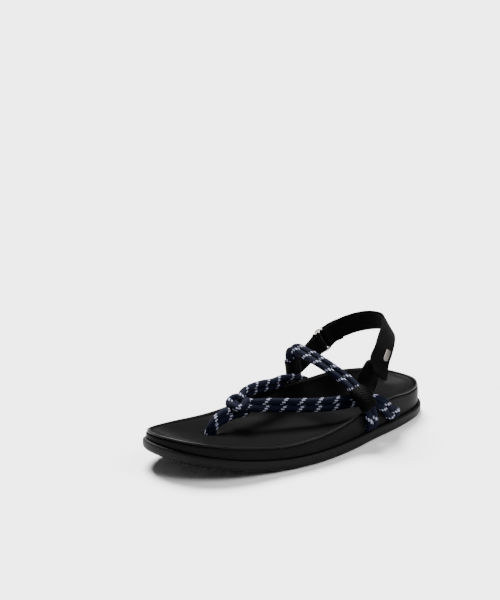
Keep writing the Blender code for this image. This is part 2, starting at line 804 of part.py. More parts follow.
def medial_loop(surface):
    """Sleeve round the instep cord with its doubled webbing folded round the ring's front bar."""
    _, _, _, middle, along, pair = sleeve_frame(MEDIAL_SLEEVE)
    center, bars, onwards = ring_frame()
    bar = center - onwards * RING_PITCH / 2
    double = 2 * WEBBING_THICKNESS
    radius = RING_WIRE / 2 + CLEARANCE + WEBBING_THICKNESS
    rise = PAIR_PITCH / 2 + CORD_DIAMETER / 2 + CLEARANCE + WEBBING_THICKNESS / 2
    points = [bar + onwards * radius, bar, bar - onwards * radius * EYE_TAIL, middle + pair * rise]
    widths = [bars, bars, bars, along * -1]
    keys, at = line_through(points)
    distances = [radius * (1 + share) for share in EYE_STEPS]
    rest = keys[-1] - distances[-1]
    distances += [distances[-1] + step for step in steps(rest, STRAP_STEP)[1:]]
    mesh = bmesh.new()
    add_sleeve(mesh, MEDIAL_SLEEVE)
    loop = finish("medial_loop", mesh, surface)
    band = band_object("medial_band_guide", points, widths, WEBBING_WIDTH,
                       lambda distance: eye_thickness(distance - radius, radius, double, radius * EYE_TAIL),
                       None, distances)
    combine(loop, band, "UNION")
    combine(loop, bar_cutter("webbing_bar_guide", bar, bars, STRAP_WIDTH), "DIFFERENCE")
    return loop


def metal_ring(surface):
    """Rectangular ring of round wire with rounded corners."""
    center, bars, onwards = ring_frame()
    half_width = STRAP_WIDTH / 2 + 2 * CLEARANCE + RING_WIRE / 2
    half_length = RING_PITCH / 2
    bend = RING_WIRE
    mesh = bmesh.new()
    out = bars.cross(onwards)
    rings = []
    for across, forward in ((1, 1), (-1, 1), (-1, -1), (1, -1)):
        middle = center + bars * across * (half_width - bend) + onwards * forward * (half_length - bend)
        first = bars * across if across == forward else onwards * forward
        second = onwards * forward if across == forward else bars * across
        for turn in (0.0, pi / 6, pi / 3, pi / 2):
            spoke = first * cos(turn) + second * sin(turn)
            spot = middle + spoke * bend
            rings.append([mesh.verts.new(spot + (spoke * cos(tau * k / 8) + out * sin(tau * k / 8)) * RING_WIRE / 2)
                          for k in range(8)])
    for lower, upper in zip(rings, rings[1:] + rings[:1]):
        skin(mesh, lower, upper)
    return finish("ring", mesh, surface)


def strap_plate(surface):
    """Small metal plate on the outside of the heel strap's tab."""
    lift = (STRAP_THICKNESS + PLATE_THICKNESS) / 2 + CLEARANCE
    keys, frame = strap_line(lift)
    middle = keys[-1] * PLATE_PLACE
    sections = []
    mesh = bmesh.new()
    for share in (-0.5, -0.25, 0.0, 0.25, 0.5):
        center, _, across, out = frame(middle + share * PLATE_LENGTH)
        center = center + across * -STRAP_WIDTH * PLATE_DROP
        width = PLATE_WIDTH * (0.6 if abs(share) == 0.5 else 1.0)
        sections.append(band_section(center, across, out, width, PLATE_THICKNESS))
    sweep(mesh, sections)
    return finish("strap_plate", mesh, surface)


def build():
    for old in list(bpy.data.objects):
        bpy.data.objects.remove(old)
    rubber = material("outsole_rubber", (0.030, 0.030, 0.032), 0.62)
    wall = material("midsole_skin", (0.034, 0.034, 0.036), 0.48)
    bed = material("footbed_skin", (0.032, 0.032, 0.034), 0.50)
    cord = material("navy_cord", (0.018, 0.030, 0.062), 0.70)
    webbing = material("black_webbing", (0.020, 0.020, 0.020), 0.75)
    lining = material("strap_fabric", (0.022, 0.022, 0.022), 0.80)
    steel = material("polished_steel", (0.72, 0.68, 0.62), 0.25, 1.0)
    pewter = material("brushed_steel", (0.52, 0.49, 0.45), 0.40, 1.0)

    outsole(rubber)
    core = midsole(wall)
    bed_piece = footbed(bed)
    slot = toe_hole_cutter()
    combine(core, slot, "DIFFERENCE")
    combine(bed_piece, slot, "DIFFERENCE")
    for side, word in ((1, "lateral"), (-1, "medial")):
        for along, end in ((REAR_POCKET, "rear"), (FRONT_POCKET, "front")):
            combine(core, pocket_cutter(f"{word}_{end}_pocket_guide", side, along), "DIFFERENCE")
    front_rope(cord)
    instep_rope(cord)
    lateral_loop(webbing)
    medial_loop(webbing)
    metal_ring(steel)
    heel_strap(lining)
    strap_plate(pewter)


build()
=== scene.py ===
"""Dresses the rope sandal's frame: braided cords, ribbed webbing, heel strap, metal and the moulded sole.

Metres, +Z up, the toe towards -Y and the outer side of the foot towards +X.
"""
from bisect import bisect_right
from functools import partialmethod
from math import acos, ceil, cos, exp, pi, radians, sin, tau

import bmesh
import bpy
from mathutils import Matrix, Vector
from mathutils.kdtree import KDTree


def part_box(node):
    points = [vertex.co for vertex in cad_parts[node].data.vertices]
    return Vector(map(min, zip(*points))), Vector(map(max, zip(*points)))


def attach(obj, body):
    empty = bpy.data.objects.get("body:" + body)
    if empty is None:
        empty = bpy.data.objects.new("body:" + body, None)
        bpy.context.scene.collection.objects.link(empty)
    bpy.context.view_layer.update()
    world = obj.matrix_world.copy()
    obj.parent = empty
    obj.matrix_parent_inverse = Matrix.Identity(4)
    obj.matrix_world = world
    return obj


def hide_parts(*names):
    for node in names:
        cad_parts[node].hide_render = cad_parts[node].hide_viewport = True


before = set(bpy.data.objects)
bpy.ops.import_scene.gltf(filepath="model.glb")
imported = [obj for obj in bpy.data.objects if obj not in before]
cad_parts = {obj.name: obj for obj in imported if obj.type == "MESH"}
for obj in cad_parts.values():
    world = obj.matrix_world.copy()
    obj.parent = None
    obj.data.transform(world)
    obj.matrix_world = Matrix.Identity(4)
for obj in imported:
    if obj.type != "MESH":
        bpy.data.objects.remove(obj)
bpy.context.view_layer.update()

bl_info = {
    "name": "Rope sandal",
    "version": (1, 0, 0),
    "blender": (4, 5, 0),
    "location": "View3D > Sidebar > Sandal",
    "description": "Makes the visible pieces of a rope sandal over its packed frame",
    "category": "Mesh",
}

SOLE_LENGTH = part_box("outsole")[1][1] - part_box("outsole")[0][1]


# Sizes of the frame's solids that the pieces below follow
OUTSOLE_LIP = 0.003
OUTSOLE_ROUNDING = 0.0022
TREAD_ROUNDING = 0.0034
BEAD_RISE = 0.0018
FOOTBED_STEP = 0.0008
CUP_WIDTH = 0.018
ARCH_WIDTH = 0.030
CORD_DIAMETER = 0.006
CORD_SEAT = 0.010
PAIR_PITCH = 0.0058
INSTEP_RISE = 0.045
CLEARANCE = 0.0003
WEBBING_WIDTH = 0.019
WEBBING_THICKNESS = 0.0016
STRAP_WIDTH = 0.020
STRAP_THICKNESS = 0.003
RING_WIRE = 0.0024
RING_PITCH = 0.0069
PLATE_LENGTH = 0.013
PLATE_FACE = 0.0046
PLATE_THICKNESS = 0.001

# Detail of the visible sole. The middle line reaches a share of the sole's half length, and a dent's reach is
# the distance at which it has mostly faded.
MIDDLE_REACH = 0.8
SHOULDER = 0.0017
WALL_BULGE = 0.0004
BEAD = 0.0022
BEAD_OVERHANG = 0.0003
VALLEY = 0.0006
POCKET_DENT = 0.0009
POCKET_DENT_REACH = 0.0042
POCKET_DENT_SQUEEZE = 0.6
TOE_DENT = 0.0022
TOE_DENT_REACH = 0.0045
TREAD_PITCH = 0.011
TREAD_RINGS = 5

# Detail of the visible cords, webbing and strap. The knot is drawn by a share towards its middle, above a floor.
KNOT_DRAW = 0.27
KNOT_FLOOR = 0.030
KNOT_SWELL = 0.20
SLEEVE_PLAY = 0.0004
SLEEVE_EDGE = 0.0004
SLEEVE_GIRTH = 0.046
STRIP_NARROWING = 0.08
STRAP_START = (0.0023, 0.0055)
STRAP_FOLD = 0.0011
FOLD_MARGIN = 0.0003
PRESSED_IN = 0.0002
LEG_SPREAD = 0.0009
BAR_PLAY = 0.0008
LINING_INSET = 0.0014
STITCH_PITCH = 0.0016
STITCH_WIDTH = 0.00032
STITCH_HEIGHT = 0.00026
SEAM_MARGIN = 0.002
LATERAL_SEAM_MARGIN = 0.001

# Distances along the heel strap and the lateral webbing: where the strap's fold is held to it, how far before an
# end its seams lie, and the webbing's seams. Then where the medial webbing is held, as shares of its run.
FOLD_STOPS = (0.0025, 0.005, 0.008, 0.0125)
SEAMS_BEFORE_END = (0.0022, 0.0045)
LATERAL_SEAMS = (0.0016, 0.0040)
MEDIAL_STOPS = (0.18, 0.32, 0.5, 0.8, 1.0)

# Fineness of the meshes and of the samples that they are made from
SOLE_STEPS = 288
RIM_STEPS = 1440
AXIS_STEPS = 56
TURN_STEP = 0.012
LINE_STEP = 0.002
WELD = 2e-6
STRAND_STEP = 0.0008
STRAND_SIDES = 24
BAND_STEP = 0.0012
SLEEVE_SIDES = 48
RING_SIDES = 18
PLATE_PARTS = 12
CREASE = radians(50)

# Braid of the cord: yarns of each direction, then the light tracer's lanes round the cord, its pitch, its dash as a
# share of it, its half width as a share of a lane, and where it starts on the V cord's upper strand
BRAID_YARNS = 10
TRACER_LANES = 9
TRACER_PITCH = 0.0153
TRACER_DASH = 0.19
TRACER_REACH = 0.29
UPPER_PHASE = 0.0009

# Studio: lights as name, direction they come from, softness as an angle and strength; then the floor, and the
# camera with its pixels per metre at the sandal and the sandal's place in the picture, in pixels off its middle
STUDIO_LIGHTS = (
    ("top", (-0.85, 0.45, 1.20), 0.50, 16.8),
    ("side", (0.90, 0.60, 1.10), 0.90, 3.4),
)
FLOOR_REACH = 6.0
FLOOR_DROP = 0.0002
VIEW_SCALE = 1171.9
VIEW_OFFSET = (46.1, -115.0)
VIEW_HEIGHT = 0.02
PICTURE_HEIGHT = 600.0
SENSOR = 36.0

# Outline of the outsole. Columns: along (share of LENGTH from the heel), lateral edge and medial edge
# (shares of BALL_WIDTH from the line through heel and second toe).
OUTLINE = (
    (0.020, 0.150, -0.212),
    (0.086, 0.300, -0.312),
    (0.207, 0.404, -0.330),
    (0.362, 0.484, -0.326),
    (0.440, 0.530, -0.346),
    (0.517, 0.560, -0.384),
    (0.600, 0.568, -0.430),
    (0.655, 0.556, -0.454),
    (0.759, 0.507, -0.486),
    (0.879, 0.402, -0.470),
    (0.965, 0.205, -0.370),
)
HEEL_TIP = -0.014
TOE_TIP = -0.110

# Heights over the outsole, as shares of RIM_RISE. Columns: along, lateral rim, medial rim, middle of the bed.
FOOTBED = (
    (0.00, 0.55, 0.57, 0.40),
    (0.14, 0.61, 0.83, 0.35),
    (0.27, 0.72, 0.97, 0.33),
    (0.34, 0.57, 0.96, 0.31),
    (0.41, 0.64, 0.94, 0.29),
    (0.48, 0.54, 0.92, 0.27),
    (0.55, 0.45, 0.77, 0.25),
    (0.62, 0.40, 0.59, 0.24),
    (0.69, 0.35, 0.47, 0.24),
    (0.83, 0.34, 0.32, 0.22),
    (0.93, 0.31, 0.22, 0.20),
    (1.00, 0.26, 0.19, 0.18),
)

# Lift of the whole sole. Columns: along, lift (share of TOE_SPRING).
SPRING = (
    (0.00, 0.00),
    (0.50, 0.00),
    (0.60, 0.00),
    (0.69, 0.04),
    (0.76, 0.155),
    (0.83, 0.34),
    (0.91, 0.62),
    (1.00, 1.00),
)

# Where the doubled cords enter the sides of the midsole, and the toe cord its top (shares of LENGTH, and of
# BALL_WIDTH for the toe cord's place across).
REAR_POCKET = 0.250
FRONT_POCKET = 0.365
TOE_HOLE = 0.796
TOE_HOLE_ACROSS = -0.112

# Middle line of the V cord from the lateral to the medial rim, over the knot. Columns: across (share of
# BALL_WIDTH), along (share of LENGTH), up (share of INSTEP_RISE over the forefoot's bed), then the
# direction from the lower to the upper strand (sideways, towards the toe, up).
V_CORD = (
    (0.386, 0.359, 0.408, -0.2, -0.1, 1.0),
    (0.326, 0.376, 0.400, -0.3, -0.1, 1.0),
    (0.293, 0.406, 0.386, -0.3, -0.1, 1.0),
    (0.205, 0.477, 0.380, -0.3, -0.1, 1.0),
    (0.121, 0.528, 0.398, -0.3, -0.1, 1.0),
    (0.000, 0.605, 0.440, -0.4, -0.1, 1.0),
    (-0.060, 0.655, 0.476, -0.5, -0.5, 0.7),
    (-0.116, 0.683, 0.531, 0.0, -0.8, 0.6),
    (-0.172, 0.664, 0.593, 0.5, -0.5, 0.7),
    (-0.212, 0.614, 0.611, 0.3, 0.0, 1.0),
    (-0.242, 0.553, 0.598, 0.3, 0.0, 1.0),
    (-0.260, 0.503, 0.556, 0.3, 0.0, 1.0),
    (-0.274, 0.462, 0.564, 0.4, 0.0, 1.0),
    (-0.290, 0.428, 0.548, 0.8, 0.0, 0.6),
    (-0.317, 0.397, 0.522, 1.0, 0.0, 0.3),
    (-0.344, 0.368, 0.442, 0.9, 0.0, 0.5),
    (-0.348, 0.344, 0.344, 0.4, 0.0, 0.9),
    (-0.347, 0.322, 0.247, 0.1, -0.2, 1.0),
)

# Middle line of the instep cord from the lateral to the medial side. Columns as above, the direction being
# from the front to the rear strand.
INSTEP_CORD = (
    (0.507, 0.376, 0.251, 0.1, -1.0, 0.1),
    (0.498, 0.383, 0.396, 0.1, -1.0, 0.2),
    (0.474, 0.387, 0.487, 0.1, -1.0, 0.3),
    (0.437, 0.390, 0.569, 0.1, -1.0, 0.4),
    (0.353, 0.388, 0.678, 0.1, -1.0, 0.4),
    (0.232, 0.384, 0.784, 0.1, -1.0, 0.4),
    (0.110, 0.389, 0.900, 0.1, -1.0, 0.4),
    (-0.020, 0.387, 0.975, 0.0, -1.0, 0.4),
    (-0.150, 0.379, 1.005, -0.1, -1.0, 0.4),
    (-0.280, 0.374, 1.040, -0.1, -1.0, 0.3),
    (-0.355, 0.373, 1.060, -0.1, -1.0, 0.3),
    (-0.398, 0.373, 1.020, -0.1, -1.0, 0.2),
    (-0.418, 0.371, 0.920, -0.1, -1.0, 0.2),
    (-0.426, 0.362, 0.765, -0.1, -1.0, 0.1),
    (-0.433, 0.354, 0.560, -0.1, -1.0, 0.1),
    (-0.425, 0.355, 0.330, 0.0, -1.0, 0.0),
)

# Rows of both cords that lie on the side of the sole, between the pockets and the tables above. Columns: along
# and up as above, distance off the wall in metres, then the direction between the strands.
V_LATERAL_WALL = (
    (0.276, 0.10, 0.0020, 0.0, -1.0, 0.5),
    (0.300, 0.24, 0.0020, 0.0, -0.7, 0.7),
    (0.319, 0.345, 0.0014, -0.1, -0.4, 1.0),
)
V_MEDIAL_WALL = (
    (0.298, 0.14, 0.0020, 0.0, -0.7, 0.7),
    (0.272, 0.06, 0.0020, 0.0, -1.0, 0.5),
)
INSTEP_LATERAL_WALL = ((0.371, 0.09, 0.0018, 0.0, -1.0, 0.1),)
INSTEP_MEDIAL_WALL = ((0.364, 0.15, 0.0045, 0.0, -1.0, 0.0),)

# Middles of the webbing sleeves, as shares of the instep cord's length
LATERAL_SLEEVE = 0.205
MEDIAL_SLEEVE = 0.775

# Middle line of the toe cord, which is hitched round the V cord. Columns: across, along, up as above.
TOE_CORD = (
    (-0.112, 0.806, 0.080),
    (-0.112, 0.797, 0.215),
    (-0.118, 0.775, 0.338),
    (-0.126, 0.750, 0.420),
    (-0.140, 0.708, 0.385),
    (-0.165, 0.679, 0.351),
    (-0.153, 0.648, 0.387),
    (-0.138, 0.640, 0.509),
    (-0.163, 0.650, 0.631),
    (-0.200, 0.668, 0.645),
    (-0.210, 0.690, 0.590),
    (-0.171, 0.705, 0.531),
    (-0.090, 0.707, 0.513),
    (-0.038, 0.702, 0.488),
    (-0.020, 0.687, 0.520),
    (-0.045, 0.667, 0.585),
    (-0.079, 0.647, 0.587),
    (-0.102, 0.641, 0.464),
    (-0.093, 0.659, 0.353),
    (-0.098, 0.700, 0.335),
    (-0.108, 0.741, 0.290),
    (-0.112, 0.768, 0.240),
    (-0.112, 0.782, 0.160),
)

# Middle line of the heel strap from the ring to the tab's end. Columns: across, along, up as above, then
# the direction from its lower to its upper edge (sideways, towards the toe, up).
HEEL_STRAP = (
    (-0.400, 0.222, 1.055, 0.0, 0.55, 0.83),
    (-0.352, 0.192, 1.222, 0.0, 0.45, 0.90),
    (-0.279, 0.160, 1.333, 0.0, 0.40, 0.92),
    (-0.167, 0.142, 1.430, 0.0, 0.40, 0.92),
    (-0.037, 0.138, 1.490, 0.0, 0.45, 0.90),
    (0.093, 0.153, 1.510, -0.1, 0.50, 0.85),
    (0.205, 0.191, 1.450, -0.2, 0.62, 0.77),
    (0.279, 0.229, 1.366, -0.3, 0.65, 0.70),
    (0.335, 0.262, 1.244, -0.25, 0.78, 0.55),
    (0.381, 0.297, 1.066, -0.30, 0.85, 0.45),
    (0.411, 0.307, 0.842, -0.07, 0.77, 0.64),
)

# Doubled webbing from the lateral sleeve up to a place under the tab. Columns: across, along, up as above, then
# the direction across the webbing (sideways, towards the toe, up).
LATERAL_BAND = (
    (0.409, 0.3655, 0.669, -0.93, 0.03, 0.34),
    (0.386, 0.344, 0.795, -0.70, 0.50, 0.55),
    (0.362, 0.325, 0.900, -0.30, 0.75, 0.65),
    (0.350, 0.314, 0.965, -0.10, 0.78, 0.62),
    (0.316, 0.288, 1.040, -0.08, 0.94, 0.30),
)

# The plate's place as a share of the heel strap's length and, below its middle, of its width; then the ring's
# middle, with columns as above, and the direction of its bars
PLATE_PLACE = 0.855
PLATE_DROP = 0.22
RING_PLACE = (-0.409, 0.237, 1.040)
RING_ACROSS = (0.0, 0.555, 0.832)


def curve(keys, values, at):
    """Value of the smooth curve through (key, value) pairs; values are numbers or vectors."""
    last = len(keys) - 1
    i = min(max(bisect_right(keys, at) - 1, 0), last - 1)

    def chord(j):
        j = min(max(j, 0), last - 1)
        return (values[j + 1] - values[j]) / (keys[j + 1] - keys[j])

    def slope(j):
        before = keys[j] - keys[max(j - 1, 0)]
        after = keys[min(j + 1, last)] - keys[j]
        return (chord(j - 1) * after + chord(j) * before) / (before + after)

    span = keys[i + 1] - keys[i]
    t = (at - keys[i]) / span
    return (values[i] * (2 * t**3 - 3 * t**2 + 1) + slope(i) * span * (t**3 - 2 * t**2 + t)
            + values[i + 1] * (3 * t**2 - 2 * t**3) + slope(i + 1) * span * (t**3 - t**2))


def smoothstep(t):
    t = min(max(t, 0.0), 1.0)
    return t * t * (3 - 2 * t)


def sampled(function, low, high, count=1500):
    """The same function, read from evenly spaced samples of it."""
    values = [function(low + (high - low) * k / count) for k in range(count + 1)]

    def read(at):
        spot = min(max((at - low) / (high - low), 0.0), 1.0) * count
        k = min(int(spot), count - 1)
        return values[k] + (values[k + 1] - values[k]) * (spot - k)

    return read


def fan(count, low=0.0, high=1.0):
    """Evenly spaced numbers from low to high."""
    return [low + (high - low) * k / count for k in range(count + 1)]


def column(rows, index=1):
    """Smooth curve of one column of a table over its first column."""
    keys = [row[0] for row in rows]
    values = [row[index] for row in rows]
    return lambda at: curve(keys, values, at)


class Last:
    """The shape that the foot side of the sole follows: outline, toe spring and footbed heights."""

    def __init__(self, sole):
        self.sole = sole
        lateral = [(acos(1 - 2 * along), edge) for along, edge, _ in OUTLINE]
        medial = [(tau - acos(1 - 2 * along), edge) for along, _, edge in reversed(OUTLINE)]
        ring = [(0.0, HEEL_TIP)] + lateral + [(pi, TOE_TIP)] + medial
        before = [(turn - tau, edge) for turn, edge in ring[-2:]]
        after = [(turn + tau, edge) for turn, edge in ring[:2]]
        edge_at = column(before + ring + after)
        self.edge_x = sampled(lambda turn: sole.ball_width * edge_at(turn), 0.0, tau)
        coarse = [sole.ball_width * edge_at(tau * k / AXIS_STEPS) for k in range(AXIS_STEPS)]
        self.axis_x = -(max(coarse) + min(coarse)) / 2
        self.spring_share = sampled(column(SPRING), 0.0, 1.0)
        self.columns = [sampled(column(FOOTBED, index), 0.0, 1.0) for index in (1, 2, 3)]
        self.tree = KDTree(RIM_STEPS)
        for k in range(RIM_STEPS):
            self.tree.insert(self.outline(tau * k / RIM_STEPS).to_3d(), k)
        self.tree.balance()

    def outline(self, turn, inset=0.0):
        def point(at):
            at %= tau
            return Vector((self.axis_x + self.edge_x(at), self.sole.length / 2 * cos(at)))

        ahead = point(turn + TURN_STEP) - point(turn - TURN_STEP)
        outward = Vector((-ahead.y, ahead.x)).normalized()
        return point(turn) - outward * inset

    def middle(self, turn):
        """Point of the sole's middle line across from an outline point."""
        squeezed = acos(cos(turn) * MIDDLE_REACH)
        lateral = self.edge_x(squeezed)
        medial = self.edge_x(tau - squeezed)
        return Vector((self.axis_x + (lateral + medial) / 2, self.sole.length / 2 * cos(turn) * MIDDLE_REACH))

    def wall_x(self, side, along):
        turn = acos(1 - 2 * along)
        return self.outline(turn if side > 0 else tau - turn, OUTSOLE_LIP).x

    def spring(self, y):
        return self.sole.toe_spring * max(self.spring_share(0.5 - y / self.sole.length), 0.0)

    def over(self, level):
        """Height of a row at a level, lifted by the toe spring."""
        return lambda plan, turn: level + self.spring(plan.y)

    def bed_height(self, point):
        """Height of the footbed's top at a point of the plan."""
        sole = self.sole
        along = min(max(0.5 - point.y / sole.length, 0.0), 1.0)
        turn = acos(1 - 2 * along)
        lateral_x = self.axis_x + self.edge_x(turn)
        medial_x = self.axis_x + self.edge_x(tau - turn)
        width = max(lateral_x - medial_x, sole.ball_width / 2)
        side = smoothstep((point.x - (lateral_x + medial_x) / 2) / width + 0.5)
        lateral_rim, medial_rim, middle = [share(along) for share in self.columns]
        rim = medial_rim * (1 - side) + lateral_rim * side
        reach = ARCH_WIDTH * (1 - side) + CUP_WIDTH * side
        inset = self.tree.find(point.to_3d())[2]
        depth = min(max((inset - OUTSOLE_LIP - FOOTBED_STEP) / reach, 0.0), 1.0)
        share = middle + (rim - middle) * (1 - depth) ** 2
        return sole.outsole_thickness + BEAD_RISE + self.spring(point.y) + sole.rim_rise * share

    def plan(self, across, along):
        """Point of the plan at a share of the ball's width off the axis and of the length from the heel."""
        return Vector((self.axis_x + across * self.sole.ball_width, self.sole.length * (0.5 - along)))

    def place(self, row):
        """World point of a table row that starts with across, along and up."""
        across, along, up = row[:3]
        ground = self.sole.outsole_thickness + 0.25 * self.sole.rim_rise
        return Vector((*self.plan(across, along), ground + up * INSTEP_RISE))


def heading(sideways, toewards, upwards):
    return Vector((sideways, -toewards, upwards)).normalized()


def square_to(vector, along):
    return (vector - along * vector.dot(along)).normalized()


def line_through(points, sides=()):
    """Length of the smooth line through points, and a function of the distance along it.

    The function gives the point and the heading there, and the direction that sides have there, if any.
    """
    keys = [0.0]
    for first, second in zip(points, points[1:]):
        keys.append(keys[-1] + (second - first).length)
    length = keys[-1]

    def at(distance):
        distance = min(max(distance, 0.0), length)
        ahead = curve(keys, points, min(distance + length * LINE_STEP, length))
        behind = curve(keys, points, max(distance - length * LINE_STEP, 0.0))
        side = curve(keys, sides, distance) if sides else None
        return curve(keys, points, distance), (ahead - behind).normalized(), side

    return length, at


def loft(name, around, along, point, flat, looks, part=None):
    """A grid of faces laid over point(u, v), u going round the piece and v along it.

    flat(u, v) is its UV map in metres. Sides that meet are merged, and an open end is closed with a face. part
    picks a face's material by (u, v).
    """
    mesh = bmesh.new()
    layer = mesh.loops.layers.uv.new("UVMap")
    bmesh.ops.create_grid(mesh, x_segments=around, y_segments=along, size=0.5)
    for face in mesh.faces:
        for corner in face.loops:
            corner[layer].uv = flat(corner.vert.co.x + 0.5, corner.vert.co.y + 0.5)
        if part is not None:
            middle = face.calc_center_median()
            face.material_index = part(middle.x + 0.5, middle.y + 0.5)
    for vert in mesh.verts:
        vert.co = point(vert.co.x + 0.5, vert.co.y + 0.5)
    bmesh.ops.remove_doubles(mesh, verts=mesh.verts, dist=WELD)
    bmesh.ops.dissolve_degenerate(mesh, edges=mesh.edges, dist=WELD)
    open_edges = [edge for edge in mesh.edges if edge.is_boundary]
    if open_edges:
        bmesh.ops.holes_fill(mesh, edges=open_edges, sides=0)
    return finished(name, mesh, looks)


def finished(name, mesh, looks):
    """Smooth object of a mesh."""
    bmesh.ops.recalc_face_normals(mesh, faces=mesh.faces)
    data = bpy.data.meshes.new(name)
    mesh.to_mesh(data)
    mesh.free()
    data.shade_smooth()
    data.set_sharp_from_angle(angle=CREASE)
    piece = bpy.data.objects.new(name, data)
    bpy.context.scene.collection.objects.link(piece)
    for look in looks:
        data.materials.append(look)
    return piece


def hand_over(slot, nodes, *pieces):
    """Let pieces ride on the sandal's one body, and hide the frame's nodes."""
    for piece in pieces:
        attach(piece, "root")
    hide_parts(*nodes)


# Materials

def toned(color, share=1.0):
    """A colour times a share, as nodes take it."""
    return (*(value * share for value in color), 1.0)


class Value:
    """What a material works out at each point. Arithmetic on it adds nodes."""

    def __init__(self, look, socket):
        self.look = look
        self.socket = socket

    def calc(self, operation, other=0.0):
        return self.look.node("ShaderNodeMath", {0: self, 1: other}, operation=operation)

    __add__ = partialmethod(calc, "ADD")
    __sub__ = partialmethod(calc, "SUBTRACT")
    __mul__ = partialmethod(calc, "MULTIPLY")
    __truediv__ = partialmethod(calc, "DIVIDE")


class Look:
    """Material whose methods add nodes to it."""

    def __init__(self, name, color, roughness, specular=0.5, metallic=0.0, sheen=0.0):
        self.material = bpy.data.materials.new(name)
        self.material.use_nodes = True
        self.tree = self.material.node_tree
        self.shade(**{"Base Color": toned(color), "Roughness": roughness, "Metallic": metallic,
                      "Specular IOR Level": specular, "Sheen Weight": sheen})

    def fill(self, node, inputs):
        """Set a node's inputs, by index or name, to values or plain numbers."""
        for key, value in inputs.items():
            if isinstance(value, Value):
                self.tree.links.new(value.socket, node.inputs[key])
            else:
                node.inputs[key].default_value = value

    def shade(self, **inputs):
        self.fill(self.tree.nodes["Principled BSDF"], inputs)

    def node(self, kind, inputs=None, output=0, **settings):
        """Value that a new node gives."""
        node = self.tree.nodes.new(kind)
        for key, value in settings.items():
            setattr(node, key, value)
        self.fill(node, inputs or {})
        return Value(self, node.outputs[output])

    def plan_of(self, place):
        """The first two parts of a place."""
        return [self.node("ShaderNodeSeparateXYZ", {0: place}, axis) for axis in (0, 1)]

    def flat_map(self):
        """Across and along in the piece's own UV map, in metres."""
        return self.plan_of(self.node("ShaderNodeUVMap", uv_map="UVMap"))

    def grain(self, scale, detail=3.0, roughness=0.5, stretch=1.0):
        """Noise in the piece's own space; scale is in cells per metre and stretch a share of it, upwards."""
        place = self.node("ShaderNodeTexCoord", output="Object")
        if stretch != 1.0:
            place = self.node("ShaderNodeMapping", {"Vector": place, "Scale": (1.0, 1.0, stretch)})
        return self.node("ShaderNodeTexNoise", {"Vector": place, "Scale": scale, "Detail": detail,
                                                "Roughness": roughness})

    def mix(self, share, first, second):
        return self.node("ShaderNodeMix", {0: share, 6: first, 7: second}, 2, data_type="RGBA")

    def paint(self, share, first, second):
        self.shade(**{"Base Color": self.mix(share, first, second)})

    def gloss(self, value, low, high):
        self.shade(Roughness=self.node("ShaderNodeMapRange", {"Value": value, "To Min": low, "To Max": high}))

    def emboss(self, height, distance, strength=1.0):
        self.shade(Normal=self.node("ShaderNodeBump", {"Height": height, "Distance": distance,
                                                       "Strength": strength}))


def cord_look(colors):
    """Braided navy cord with a light tracer yarn that shows as groups of short dashes."""
    look = Look("braided_cord", colors.cord, 0.75, 0.02, sheen=0.003)
    around, along = look.flat_map()
    turn = around / (CORD_DIAMETER * pi)
    run = along / (CORD_DIAMETER * pi)
    right = (turn + run) * BRAID_YARNS
    left = (turn - run) * BRAID_YARNS
    crowns = []
    for lean in (right, left):
        swing = lean.calc("FRACT") - 0.5
        crowns.append(swing * swing * -4.0 + 1.0)
    over = (right.calc("FLOOR") + left.calc("FLOOR")).calc("PINGPONG", 1.0)
    height = over * crowns[0] + (over * -1.0 + 1.0) * crowns[1]
    fibre = look.grain(2600.0, 2.0)
    # Painted shade: the braid is darker in the grooves between its yarns and lighter on their crowns, with some
    # random fibre tone mixed in
    base = look.mix((height * 0.75 + fibre) * 0.6, toned(colors.cord, 0.45), toned(colors.cord, 1.55))
    lane = turn * TRACER_LANES
    dash = (lane.calc("FLOOR") / TRACER_LANES + along / TRACER_PITCH).calc("FRACT").calc("LESS_THAN", TRACER_DASH)
    inside = (lane.calc("FRACT") - 0.5).calc("ABSOLUTE").calc("LESS_THAN", TRACER_REACH)
    look.paint(dash * inside, base, toned(colors.tracer))
    look.emboss(height + fibre * 0.35, 0.00035, 0.8)
    return look.material


def webbing_look(name, color, rib, slant):
    """Woven band: ribs across its length, crossed by finer yarns that lean by slant."""
    look = Look(name, color, 0.70, 0.02, sheen=0.002)
    across, along = look.flat_map()
    ribs = ((along + across * slant) * (tau / rib)).calc("SINE")
    yarns = (across * (tau / (rib * 0.8))).calc("SINE")
    height = ribs * 0.35 + yarns * 0.15 + 0.5 + look.grain(2200.0, 2.0) * 0.4
    # Painted shade: the band is darker in the valleys between ribs and yarns and lighter on their tops, with some
    # random grain mixed in
    look.paint(height * 0.7, toned(color, 0.35), toned(color, 2.6))
    look.emboss(height, 0.0005, 0.9)
    return look.material


def skin_look(name, color, roughness, pore, depth, specular):
    """Moulded or coated skin: fine pores, a slow change of tone and of gloss."""
    look = Look(name, color, roughness, specular)
    fine = look.grain(pore, 4.0, 0.6)
    look.paint(look.grain(28.0, 2.0), toned(color, 0.8), toned(color, 1.2))
    look.gloss(fine, roughness - 0.06, roughness + 0.08)
    look.emboss(fine, depth, 0.6)
    return look.material


def tread_look(color):
    """Underside of the rubber, cut with shallow grooves that meet in chevrons."""
    look = Look("outsole_tread", color, 0.66, 0.12)
    across, along = look.plan_of(look.node("ShaderNodeTexCoord", output="Object"))
    wave = ((along + across.calc("ABSOLUTE")) * (tau / TREAD_PITCH)).calc("SINE")
    block = wave.calc("GREATER_THAN", -0.45)
    # Painted shade: the grooves are darker than the blocks between them
    look.paint(block, toned(color, 0.55), toned(color))
    look.emboss(block + look.grain(1500.0) * 0.08, 0.0012, 0.7)
    return look.material


def thread_look(color):
    look = Look("black_thread", color, 0.6, 0.03)
    fibre = look.grain(3000.0, 2.0)
    look.paint(fibre, toned(color), toned(color, 2.0))
    look.emboss(fibre, 0.00005)
    return look.material


